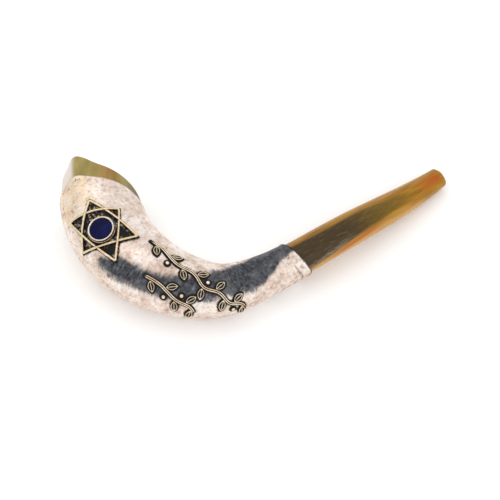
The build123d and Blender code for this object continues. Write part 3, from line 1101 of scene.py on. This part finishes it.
@dataclass
class Sleeve:
    """The silver sleeve: a beaten sheet with creases towards the mouth, closed round both lips."""

    ornaments: KDTree
    columns: int = 236
    skin_rows: int = 250
    lining_rows: int = 24
    dent: float = 0.0002
    ripple: float = 0.00008
    crease_at: tuple = (0.0022, 0.0068, 0.0116, 0.0165, 0.0215, 0.0268, 0.034)
    crease_depth: float = 0.00016
    crease_wander: float = 0.0016
    lining_inset: float = 0.0001
    lip: tuple = ((0.9, 0.00008), (0.5, 0.00012), (0.1, 0.00008))  # share of the thickness, bulge
    roll_at_mouth: tuple[float, float] = (0.0011, 0.00022)  # width and height of the rolled edge
    roll_at_bell: tuple[float, float] = (0.001, 0.00012)
    # edges of the dark band of oxide and painted reflection: angle by distance in millimetres
    band_upper: dict = field(default_factory=lambda: {
        110: 172, 142: 166, 149: 146, 157: 128, 172: 114, 187: 95, 217: 67, 228: 66, 238: 60, 247: 40,
    })
    band_lower: dict = field(default_factory=lambda: {
        110: 92, 130: 86, 137: 83, 143: 62, 151: 46, 161: 38, 176: 46, 185: 38, 206: 29, 217: 33,
        226: 30, 237: 26, 247: 30,
    })

    def beat(self, piece: Piece, finish: Finish) -> None:
        """Dents, ripples and creases the sheet along the outward direction stored on its points."""
        tree = Growth(
            "Beaten Sheet", Dent_Depth=self.dent, Dent_Size=0.011, Ripple_Depth=self.ripple,
            Ripple_Size=0.0028, Crease_Depth=self.crease_depth, Crease_Width=0.0011, Finish=finish,
        )
        place = tree.add("GeometryNodeInputPosition", {})
        edge, skin, roll = (tree.number(name) for name in ("edge", "skin", "roll"))

        def waves(size: Union[Socket, Number], seed: float) -> Socket:
            """Noise about zero with features of a size."""
            moved = tree.add("ShaderNodeVectorMath", {"operation": "ADD"}, place, (seed, seed, seed))
            texture = {"noise_dimensions": "3D"}
            grain = tree.add("ShaderNodeTexNoise", texture, Vector=moved, Scale=1 / size, Detail=2.0)
            return grain * 2 - 1

        wander = waves(0.012, 11.0) * self.crease_wander
        parts = []
        for i, at in enumerate(self.crease_at):
            hill = abs(edge + wander - at) / tree.given("Crease_Width")
            parts.append(hill.step(1.0, 0.0) * waves(0.016, 30.0 + 7 * i).step(-0.05, 0.25))
        crease = reduce(lambda first, second: first.larger(second), parts) * skin
        height = (
            waves(tree.given("Dent_Size"), 0.0) * tree.given("Dent_Depth")
            + waves(tree.given("Ripple_Size"), 5.0) * tree.given("Ripple_Depth")
            - crease * tree.given("Crease_Depth")
            + roll
        ) * skin
        offset = tree.add("ShaderNodeVectorMath", {"operation": "SCALE"}, tree.vector("facing"), Scale=height)
        marked = tree.add(
            "GeometryNodeStoreNamedAttribute", {"data_type": "FLOAT", "domain": "POINT"},
            tree.start, Name="crease", Value=crease,
        )
        tree.grow(piece, tree.add("GeometryNodeSetPosition", {}, marked, Offset=offset))

    def build(self) -> Piece:
        """The sleeve."""
        angle = np.linspace(0, 360, self.columns, endpoint=False)
        start, end = FORM.sleeve_from(angle, SKIN), FORM.sleeve_to(angle, SKIN)
        share = np.linspace(0, 1, self.skin_rows)[:, None]
        along = start + (end - start) * share
        rows, where = list(FORM.outer(along, angle, SKIN)), list(along)
        for lift, bulge in self.lip:
            rows.append(FORM.outer(end + bulge, angle, self.under(lift)))
            where.append(end)
        low, high = start + self.lining_inset, end - self.lining_inset
        for step in np.linspace(1, 0, self.lining_rows):
            where.append(low + (high - low) * step)
            rows.append(FORM.outer(where[-1], angle, FORM.bedding))
        for lift, bulge in reversed(self.lip):
            rows.append(FORM.outer(start - bulge, angle, self.under(lift)))
            where.append(start)
        rings, where = np.array(rows), np.array(where)
        skin = np.zeros_like(where)
        skin[: self.skin_rows] = 1
        values = self.masks(rings, where, (np.broadcast_to(angle, where.shape) + 180) % 360 - 180)
        for key in ("soot", "band"):
            values[key] = values[key] * skin
        roll = sum(
            np.exp(-((away / width) ** 2)) * high
            for away, (width, high) in ((where - start, self.roll_at_mouth), (end - where, self.roll_at_bell))
        )
        values |= {"skin": skin, "edge": where - start, "roll": roll}
        piece = ring_mesh("silver_sleeve_sheet", rings, values)
        facing = FORM.normal(where, np.broadcast_to(angle, where.shape), SKIN)
        store(piece.data, "facing", facing.reshape(-1, 3), "FLOAT_VECTOR")
        finish = BrushedSilver().build()
        self.beat(piece, finish)
        return dress(piece, finish, Slot.SILVER, "silver_sleeve")

    def under(self, lift: float) -> float:
        """Offset at a share of the sheet's thickness."""
        return FORM.bedding + (SKIN - FORM.bedding) * lift

    def masks(self, rings: Array, along: Array, angle: Array) -> dict:
        """Where the band of oxide and painted reflection, the oxide and painted shade round the relief and the worn
        patches lie.

        Args:
            rings: the points.
            along: distance along.
            angle: angle round the section, -180 to 180.
        Returns:
            Numbers by attribute name.
        """
        s = along / MM
        drawn = np.stack([along * 900, np.cos(np.radians(angle)) * 1.3, np.sin(np.radians(angle)) * 1.3], -1)
        ragged = speckle(drawn, 1.0, 2, 3.0) * 3.2 + speckle(rings, 0.006, 2, 9.0) * 5
        # the dark band: oxide and painted reflection between the two edges
        band = between_edges(along, angle + ragged, self.band_upper, self.band_lower, 13.0)
        # oxide and painted shade: the sheet darkens within about 1.7 mm of the raised ornaments
        away = np.array([self.ornaments.find(p)[2] for p in rings.reshape(-1, 3)]).reshape(along.shape)
        reach = 0.0017 + speckle(rings, 0.004, 2, 21.0) * 0.0005
        soot = smoothstep(away, reach, reach * 0.35)
        bell = smoothstep(s, 262, 285) * smoothstep(angle, 95, 60) * smoothstep(angle, 0, 25)
        edge = smoothstep(angle, 12, -2) * smoothstep(angle, -60, -30) * smoothstep(s, 225, 250)
        return {
            **round_section(along, angle),
            "band": band,
            "soot": soot,
            "yellow": np.clip(bell + edge * 0.7, 0, 1),
            "worn": np.clip(0.15 + bell * 0.6 + edge * 0.6 + smoothstep(s, 150, 128) * 0.4, 0, 1),
        }


# ---------------------------------------------------------------- the star

class Swept(Growth):
    """A tree that sweeps one or two round wires, and a web between them, along a path."""

    def __init__(self, name: str, finish: Finish, half_width: float, half_height: float,
                 lift: float, spread: float = 0.0, sides: int = 16) -> None:
        """Builds the tree.

        Args:
            name: the tree's name.
            finish: material of the result.
            half_width: half the width of one wire.
            half_height: half its height.
            lift: height of its centre over the path.
            spread: distance of two wires from the path, or 0 for one.
            sides: points round a wire.
        """
        super().__init__(
            name, Half_Width=half_width, Half_Height=half_height, Lift=lift, Spread=spread, Sides=sides, Finish=finish
        )
        path = self.add("GeometryNodeMeshToCurve", {}, self.start)
        aimed = self.add("GeometryNodeSetCurveNormal", {"mode": "FREE"}, path, Normal=self.vector("facing"))
        wide, tall = self.given("Half_Width"), self.given("Half_Height")
        high, out = self.given("Lift"), self.given("Spread")
        rounds = [self.round(high, out, tall, wide)]
        if spread:
            rounds.append(self.round(high, out * -1, tall, wide))
            rounds.append(self.round(high * 0.25, out * 0, tall * 0.9, out))
        join = self.raw("GeometryNodeJoinGeometry", {})
        for ring in rounds:
            self.feed(join.inputs[0], ring)
        self.result = self.add(
            "GeometryNodeCurveToMesh", {}, aimed, Profile_Curve=Socket(self, join.outputs[0]),
            Scale=self.number("taper"), Fill_Caps=True,
        )

    def round(self, height: Socket, side: Socket, tall: Socket, wide: Socket) -> Socket:
        """One oval of the profile, given its place and half sizes."""
        ring = self.add("GeometryNodeCurvePrimitiveCircle", {"mode": "RADIUS"}, self.given("Sides"), Radius=1.0)
        place = self.add("ShaderNodeCombineXYZ", {}, height, side, 0.0)
        size = self.add("ShaderNodeCombineXYZ", {}, tall, wide, 1.0)
        return self.add("GeometryNodeTransform", {}, ring, Translation=place, Scale=size)


def path_object(name: str, points: Array, facing: Array, taper: Array, closed: bool) -> Piece:
    """A line of edges with the outward direction and the thickness stored on its points."""
    count = len(points)
    edges = [(i, i + 1) for i in range(count - 1)] + ([(count - 1, 0)] if closed else [])
    piece = add_mesh(name, points, edges, [])
    store(piece.data, "facing", facing, "FLOAT_VECTOR")
    store(piece.data, "taper", taper)
    return piece


def mark_crests(piece: Piece, ground: Surface, full: float) -> None:
    """Stores each point's height over a surface, as a share of the full height."""
    # the relief finishes paint oxide and shade low down from this height
    store(piece.data, "crest", ground.heights(points_of(piece.data)) / full)


@dataclass
class Star:
    """Two bowed triangles of wire that pass over and under each other on the dark plate."""

    spot: Spot
    tips: tuple = ((-138, 24.0), (-66, 19.0), (-12, 25.0), (33, 25.5), (97, 19.0), (169, 24.5))
    bulge: float = 0.0018
    wire: float = 0.0017
    height: float = 0.0016
    tip_inset: float = 0.00115
    steps: int = 46
    corner: float = 0.018           # share of a side that its rounded corner takes
    lap_reach: float = 0.0013
    lap_under: float = -0.0006
    lap_over: float = 0.00008

    def line(self, first: int) -> Array:
        """The middle of one triangle's wire, on the star's plane."""
        tips = []
        for angle, reach in self.tips[first::2]:
            turn = math.radians(angle)
            tips.append(np.array([math.cos(turn), math.sin(turn)]) * reach * MM)
        corners = [tip * (1 - self.tip_inset / np.linalg.norm(tip)) for tip in tips]
        points = []
        for i in range(3):
            here, there, after = corners[i], corners[(i + 1) % 3], corners[(i + 2) % 3]
            control = self.control(tips[i], tips[(i + 1) % 3], here, there)
            ahead = self.control(tips[(i + 1) % 3], tips[(i + 2) % 3], there, after)
            shares = np.linspace(self.corner, 1 - self.corner, self.steps)
            side = [bent(here, control, there, t) for t in shares]
            start, end = side[-1], bent(there, ahead, after, self.corner)
            points += side + [bent(start, there, end, t) for t in (0.25, 0.5, 0.75)]
        return np.array(points)

    def control(self, tip: Array, next_tip: Array, here: Array, there: Array) -> Array:
        """Control point that bows a side through its proper middle."""
        middle = (tip + next_tip) / 2
        middle = middle + middle / np.linalg.norm(middle) * (self.bulge - self.wire / 2)
        return 2 * middle - (here + there) / 2

    def crossings(self, lines: list[Array]) -> list[Array]:
        """Where the two wires cross, in order of angle round the star."""
        found = []
        first, second = lines
        for a, b in zip(first, np.roll(first, -1, 0)):
            for c, d in zip(second, np.roll(second, -1, 0)):
                run, other = b - a, d - c
                det = run[0] * other[1] - run[1] * other[0]
                if abs(det) < 1e-14:
                    continue
                t = ((c - a)[0] * other[1] - (c - a)[1] * other[0]) / det
                u = ((c - a)[0] * run[1] - (c - a)[1] * run[0]) / det
                if 0 <= t < 1 and 0 <= u < 1:
                    found.append(a + run * t)
        return sorted(found, key=lambda p: math.atan2(p[1], p[0]))

    def build(self) -> list[Piece]:
        """Both wires."""
        finish = ReliefSilver(tone(222, 200, 150), name="gilt_silver", low=0.52, high=0.8).build()
        paint("star_plate", DarkPlate().build())
        ground = Surface(SKIN + PLATE)
        lines = [self.line(0), self.line(1)]
        crossings = self.crossings(lines)
        pieces = []
        for k, (line, node) in enumerate(zip(lines, ("star_triangle_outer", "star_triangle_inner"))):
            points, facing = [], []
            for x, y in line:
                place, normal = ground.drop(self.spot, x, y)
                lift = 0.0
                for i, crossing in enumerate(crossings):
                    away = math.hypot(x - crossing[0], y - crossing[1]) / self.lap_reach
                    lift += math.exp(-(away**2)) * (self.lap_under if i % 2 == k else self.lap_over)
                points.append(place + normal * lift)
                facing.append(normal)
            wobble = 1 + speckle(np.array(points), 0.0035, 2, 3.0 + k) * 0.12
            piece = path_object(f"star_wire_{k + 1}", np.array(points), np.array(facing), wobble, True)
            tree = Swept(f"Star Wire {k + 1}", finish, self.wire * 0.46, self.height * 0.56, self.height * 0.44)
            tree.grow(piece, tree.result)
            mark_crests(piece, ground, self.height)
            pieces.append(dress(piece, finish, Slot.GILT, node))
        return pieces


@dataclass
class Setting:
    """The stone in its bezel, with the low collar round the bezel's foot."""

    spot: Spot
    ground: Surface
    bezel_radius: float = 0.0086
    bezel_wall: float = 0.0009
    bezel_top: float = 0.0032
    bezel_lip: float = 0.00035
    collar_radius: float = 0.0093
    collar_wall: float = 0.0006
    collar_top: float = 0.0016
    seat: float = 0.0015
    stone_edge: float = 0.0011
    stone_crown: float = 0.0005
    stone_round: float = 0.0002
    gap: float = 0.00004
    chamfer: float = 0.0003
    sunk: float = 0.00012
    columns: int = 128

    def foot(self, radius: float) -> Array:
        """Height of the plate round a circle, a little sunk."""
        heights = []
        for turn in np.linspace(0, 2 * math.pi, self.columns, endpoint=False):
            place, _ = self.ground.drop(self.spot, radius * math.cos(turn), radius * math.sin(turn))
            heights.append(np.dot(place - self.spot.origin, self.spot.z) - self.sunk)
        return np.array(heights)

    def ring(self, radius: Number, height: Union[Number, Array]) -> Array:
        """One ring about the setting's axis."""
        turn = np.linspace(0, 2 * math.pi, self.columns, endpoint=False)
        flat = np.outer(np.cos(turn), self.spot.x) + np.outer(np.sin(turn), self.spot.y)
        return self.spot.origin + flat * radius + np.outer(np.broadcast_to(height, turn.shape), self.spot.z)

    def arc(self, radius: float, height: float, size: float, start: float, end: float, count: int = 5) -> list:
        """Rings round a rounded edge, given its centre, size and angles in degrees."""
        turns = [math.radians(a) for a in np.linspace(start, end, count)]
        return [self.ring(radius + size * math.cos(t), height + size * math.sin(t)) for t in turns]

    def build(self) -> list[Piece]:
        """Bezel, collar and stone."""
        r, top, wall, low = self.bezel_radius, self.bezel_top, self.bezel_wall, self.chamfer
        foot, bead = self.foot(r), wall / 2
        rows = [self.ring(r, foot + (top - bead - foot) * t) for t in (0, 0.25, 0.5, 0.75, 0.9)]
        rows += self.arc(r - bead, top - bead, bead, 0, 150, 9)
        rows += [self.ring(r - wall - self.bezel_lip, top - bead - low / 3)]
        rows += [self.ring(r - wall, top - bead - low)]
        rows += [self.ring(r - wall, self.seat), self.ring(0.002, self.seat)]
        bezel = self.metal("bezel_cup", rows, (0.0019, 0.0032), False)
        r, top, wall = self.collar_radius, self.collar_top, self.collar_wall
        inner, foot = self.foot(r - wall), self.foot(r)
        rows = [self.ring(r, foot + (top - low - foot) * t) for t in (0, 0.5, 1)]
        rows += self.arc(r - wall / 2, top - wall / 2, wall / 2, 20, 160)
        rows += [self.ring(r - wall, inner + (top - low - inner) * t) for t in (1, 0.5, 0)]
        collar = self.metal("collar_ring", rows, (0.0004, 0.0018), True)
        bright = ReliefSilver(tone(232, 220, 198), tone(34, 30, 28), "bezel_silver", 0.45, 0.75).build()
        dull = ReliefSilver(tone(128, 120, 120), tone(22, 20, 20), "collar_silver", 0.6, 1.05).build()
        radius = self.bezel_radius - self.bezel_wall - self.gap
        edge = self.seat + self.stone_edge
        rows = [self.ring(radius * t, self.seat + 0.00003) for t in (0.3, 1)]
        rows += [self.ring(radius, edge - low)]
        for t in np.linspace(1, 0.04, 26):
            fall = self.stone_round * smoothstep(t, 0.93, 1.0)
            rows.append(self.ring(radius * t, edge + self.stone_crown * (1 - t**2) - fall))
        stone = ring_mesh("stone_cabochon", np.array(rows), None, False)
        return [
            dress(bezel, bright, Slot.GILT, "bezel"),
            dress(collar, dull, Slot.GILT, "bezel_collar"),
            dress(stone, Cabochon().build(), Slot.STONE, "stone"),
        ]

    def metal(self, name: str, rows: list, worn: tuple[float, float], loop: bool) -> Piece:
        """A part of the setting from its rings, made a little uneven, as hand-set metal is.

        Args:
            name: the object's name.
            rows: the rings.
            worn: heights between which the metal turns from oxide and painted shade to bright.
            loop: True for a ring, False for a cup.
        Returns:
            The object.
        """
        rings = np.array(rows)
        beaten = rings + self.spot.z * (speckle(rings, 0.004, 2, 17.0) * 0.00008)[..., None]
        piece = ring_mesh(name, beaten, None, loop)
        height = (points_of(piece.data) - self.spot.origin) @ self.spot.z
        # oxide and painted shade low on the setting, bright metal at the top, by height
        store(piece.data, "crest", smoothstep(height, *worn))
        return piece


# ---------------------------------------------------------------- the vine

@dataclass(frozen=True)
class Branch:
    """One branch's run: its path as distance and angle, its waves, leaves and berries."""

    name: str
    path: tuple
    waves: float
    leaves: int
    berries: tuple


class Run:
    """A branch's line on the sleeve."""

    def __init__(self, branch: Branch, ground: Surface, wave: float) -> None:
        """Args: branch: the branch. ground: the sleeve. wave: swing of the stem."""
        self.branch, self.ground, self.wave = branch, ground, wave
        knots = np.array(branch.path, float)
        padded = np.vstack([2 * knots[0] - knots[1], knots, 2 * knots[-1] - knots[-2]])
        fine = []
        for i in range(1, len(padded) - 2):
            a, b, c, d = padded[i - 1 : i + 3]
            for t in np.linspace(0, 1, 60, endpoint=False):
                square, cube = 2 * a - 5 * b + 4 * c - d, 3 * b - a - 3 * c + d
                fine.append(0.5 * (2 * b + (c - a) * t + square * t**2 + cube * t**3))
        fine.append(knots[-1])
        fine = np.array(fine)
        length = np.concatenate([[0], np.cumsum(np.linalg.norm(np.diff(fine, axis=0), axis=1))])
        self.share = length / length[-1]
        self.fine = fine

    def seat(self, share: float) -> tuple[Array, Array]:
        """Place on the sleeve and outward direction at a share of the run."""
        held = min(1.0, max(0.0, share))
        here = np.array([np.interp(held, self.share, self.fine[:, k]) for k in (0, 1)])
        ahead = np.array([np.interp(min(1, held + 0.004), self.share, self.fine[:, k]) for k in (0, 1)])
        back = np.array([np.interp(max(0, held - 0.004), self.share, self.fine[:, k]) for k in (0, 1)])
        at = lambda p: FORM.outer(np.array(p[0] * MM), np.array(p[1]), SKIN)
        run = at(ahead) - at(back)
        _, normal = self.ground.nearest(at(here))
        side = np.cross(normal, run)
        side /= np.linalg.norm(side)
        swing = self.wave * math.sin(2 * math.pi * self.branch.waves * share)
        return self.ground.nearest(at(here) + side * swing)

    def axes(self, share: float) -> tuple[Array, Array, Array, Array]:
        """Place, direction along, direction across and outward direction at a share of the run."""
        place, normal = self.seat(share)
        run = self.seat(share + 0.01)[0] - self.seat(share - 0.01)[0]
        run = run - normal * np.dot(run, normal)
        run /= np.linalg.norm(run)
        return place, run, np.cross(normal, run), normal


@dataclass
class Vine:
    """Two branches in relief: grooved stems, ribbed leaves by turns on either side, and berries."""

    ground: Surface
    branches: tuple = (
        Branch(
            "upper",
            ((230, 110), (217.5, 106), (205.5, 98), (194.5, 84), (184, 62), (175.5, 38), (168, 8)),
            3.5, 9, ((0.18, -1), (0.51, 1), (0.84, -1)),
        ),
        Branch("lower", ((220, 57), (208.5, 48), (199, 35), (191.5, 12)), 1.5, 5, ((0.35, -1), (0.56, 1))),
    )
    relief: float = 0.0013
    stem_width: float = 0.0019
    wave: float = 0.0012
    leaf_length: float = 0.0078
    leaf_width: float = 0.0040
    leaf_spread: float = 52.0
    leaf_gap: float = 0.00115
    berry_radius: float = 0.0015
    berry_off: float = 0.0040

    def stem(self, run: Run, finish: Finish) -> Piece:
        """The stem of one branch."""
        points, facing, taper = [], [], []
        for share in np.linspace(0, 1, 190):
            place, normal = run.seat(share)
            points.append(place)
            facing.append(normal)
            taper.append(min(1.0, 0.55 + 12 * share, 0.55 + 12 * (1 - share)))
        name = run.branch.name
        piece = path_object(f"{name}_stem_wires", np.array(points), np.array(facing), np.array(taper), False)
        tree = Swept(
            f"Stem {name}", finish, self.stem_width * 0.2, self.relief * 0.44,
            self.relief * 0.56, self.stem_width * 0.3, 12,
        )
        tree.grow(piece, tree.result)
        mark_crests(piece, self.ground, self.relief)
        return dress(piece, finish, Slot.RELIEF, f"{name}_stem")

    def scatter(self, name: str, spots: list[tuple], growth: Growth, shape: Socket) -> Piece:
        """Sets a shape on a list of places.

        Args:
            name: the object's name.
            spots: place, direction along and outward direction of each.
            growth: the tree that makes the shape.
            shape: the geometry to set on each place.
        Returns:
            The object with all of them in one mesh.
        """
        piece = add_mesh(name, np.array([s[0] for s in spots]), [], [])
        turns = []
        for _, along, outward in spots:
            axes = Matrix((along, np.cross(outward, along), outward)).transposed()
            turns.append(tuple(axes.to_euler()))
        store(piece.data, "turn", np.array(turns), "FLOAT_VECTOR")
        placed = growth.add(
            "GeometryNodeInstanceOnPoints", {}, growth.start, Instance=shape, Rotation=growth.vector("turn")
        )
        return growth.grow(piece, placed)

    def leaf_shape(self, growth: Growth) -> Socket:
        """A leaf made from a sphere: pointed at both ends, with a raised rim, a rib and sunk fields."""
        ball = growth.add("GeometryNodeMeshUVSphere", {}, 36, 22, 1.0)
        place = growth.add("GeometryNodeInputPosition", {})
        parts = growth.raw("ShaderNodeSeparateXYZ", {}, place)
        x, y, z = (Socket(growth, parts.outputs[k]) for k in range(3))
        narrow = ((1 - x * x).clamp()) ** 0.5
        reach = (x * x + y * y) ** 0.5
        rim = reach.bump(0.86, 0.2)
        rib = abs(y / (narrow + 0.02)).bump(0.0, 0.24) * reach.step(0.95, 0.8)
        crest = rim.larger(rib)
        top = z.step(0.0, 0.08)
        high = growth.given("Height") * (0.42 + crest * 0.62) * reach.step(1.0, 0.94) * top
        long = x * growth.given("Length") * 0.5
        height = high - (1 - top) * 0.0003 - long * long * growth.given("Bow")
        wide = y * narrow * growth.given("Width") * 0.56
        spot = growth.add("ShaderNodeCombineXYZ", {}, long, wide, height)
        return growth.add("GeometryNodeSetPosition", {}, ball, Position=spot)

    def build(self) -> list[Piece]:
        """Stems, leaves and berries."""
        finish = ReliefSilver().build()
        pieces = []
        for branch in self.branches:
            run = Run(branch, self.ground, self.wave)
            pieces.append(self.stem(run, finish))
            spots = []
            for i in range(branch.leaves):
                side = 1 if i % 2 else -1
                place, along, across, _ = run.axes((i + 0.35) / branch.leaves)
                turn = math.radians(self.leaf_spread) * side
                way = along * math.cos(turn) + across * math.sin(turn)
                out = self.leaf_gap / math.sin(math.radians(self.leaf_spread)) + self.leaf_length / 2
                middle, normal = self.ground.nearest(place + way * out)
                way = way - normal * np.dot(way, normal)
                spots.append((middle, way / np.linalg.norm(way), normal))
            growth = Growth(
                f"Leaves {branch.name}", Length=self.leaf_length, Width=self.leaf_width,
                Height=self.relief, Bow=14.0, Finish=finish,
            )
            leaves = self.scatter(f"{branch.name}_leaves", spots, growth, self.leaf_shape(growth))
            mark_crests(leaves, self.ground, self.relief)
            pieces.append(dress(leaves, finish, Slot.RELIEF, *nodes_named(f"{branch.name}_leaf")))
            spots = []
            for share, side in branch.berries:
                place, along, across, _ = run.axes(share)
                middle, normal = self.ground.nearest(place + across * self.berry_off * side)
                way = along - normal * np.dot(along, normal)
                spots.append((middle, way / np.linalg.norm(way), normal))
            growth = Growth(f"Berries {branch.name}", Radius=self.berry_radius * 0.98, Finish=finish)
            ball = growth.add("GeometryNodeMeshUVSphere", {}, 24, 14, growth.given("Radius"))
            berries = self.scatter(f"{branch.name}_berries", spots, growth, ball)
            mark_crests(berries, self.ground, self.relief)
            pieces.append(dress(berries, finish, Slot.RELIEF, *nodes_named(f"{branch.name}_berry")))
        return pieces


# ---------------------------------------------------------------- studio

@dataclass
class Studio:
    """A plain pale floor, soft light and the camera."""

    height: float = 0.015
    distance: float = 1.0
    elevation: float = 55.0
    lens: float = 110.77
    world: float = 0.98
    softboxes: tuple = (("key", (-0.35, 0.25, 0.9), 0.8), ("fill", (0.6, -0.5, 0.6), 0.5))
    softbox_size: float = 0.6

    def build(self) -> None:
        """Sets up the floor, the world, the lights and the camera."""
        scene = bpy.context.scene
        corners = np.array([(-3, -3, 0), (3, -3, 0), (3, 3, 0), (-3, 3, 0)])
        floor = add_mesh("floor", corners, [], [[0, 1, 2, 3]])
        floor.data.materials.append(Backdrop().build())
        world = bpy.data.worlds.new("studio")
        world.use_nodes = True
        ground = world.node_tree.nodes["Background"]
        ground.inputs[0].default_value = (1.0, 1.0, 1.0, 1.0)
        ground.inputs[1].default_value = self.world
        scene.world = world
        for name, place, power in self.softboxes:
            self.softbox(name, place, power)
        scene.view_settings.view_transform = "Standard"
        data = bpy.data.cameras.new("camera")
        data.lens, data.sensor_width = self.lens, 36.0
        data.clip_start, data.clip_end = 0.05, 20.0
        camera = bpy.data.objects.new("camera", data)
        scene.collection.objects.link(camera)
        rise = math.radians(self.elevation)
        aim = Vector((0, math.cos(rise), -math.sin(rise)))
        camera.location = self.target() - aim * self.distance
        camera.rotation_euler = aim.to_track_quat("-Z", "Y").to_euler()
        scene.camera = camera

    def target(self) -> Vector:
        """The point that the camera and the lights face."""
        return Vector(FORM.shift) + Vector((0, 0, self.height))

    def softbox(self, name: str, place: Triple, power: float) -> None:
        """A square soft light aimed at the instrument."""
        data = bpy.data.lights.new(name, "AREA")
        data.shape, data.size, data.energy = "SQUARE", self.softbox_size, power
        lamp = bpy.data.objects.new(name, data)
        bpy.context.scene.collection.objects.link(lamp)
        lamp.location = place
        lamp.rotation_euler = (self.target() - Vector(place)).to_track_quat("-Z", "Y").to_euler()


def main() -> None:
    """Builds every sub-assembly, then the studio."""
    logging.basicConfig(level=logging.INFO, format="%(name)s %(message)s")
    spot = Spot.at(*STAR_AT)
    star = Star(spot).build()
    vine = Vine(Surface(SKIN)).build()
    Setting(spot, Surface(SKIN + PLATE)).build()
    Horn().build()
    raised = np.concatenate([points_of(piece.data) for piece in star + vine])
    Sleeve(point_tree(raised)).build()
    paint("sleeve_bedding", Resin().build())
    Studio().build()


if __name__ == "__main__":
    main()
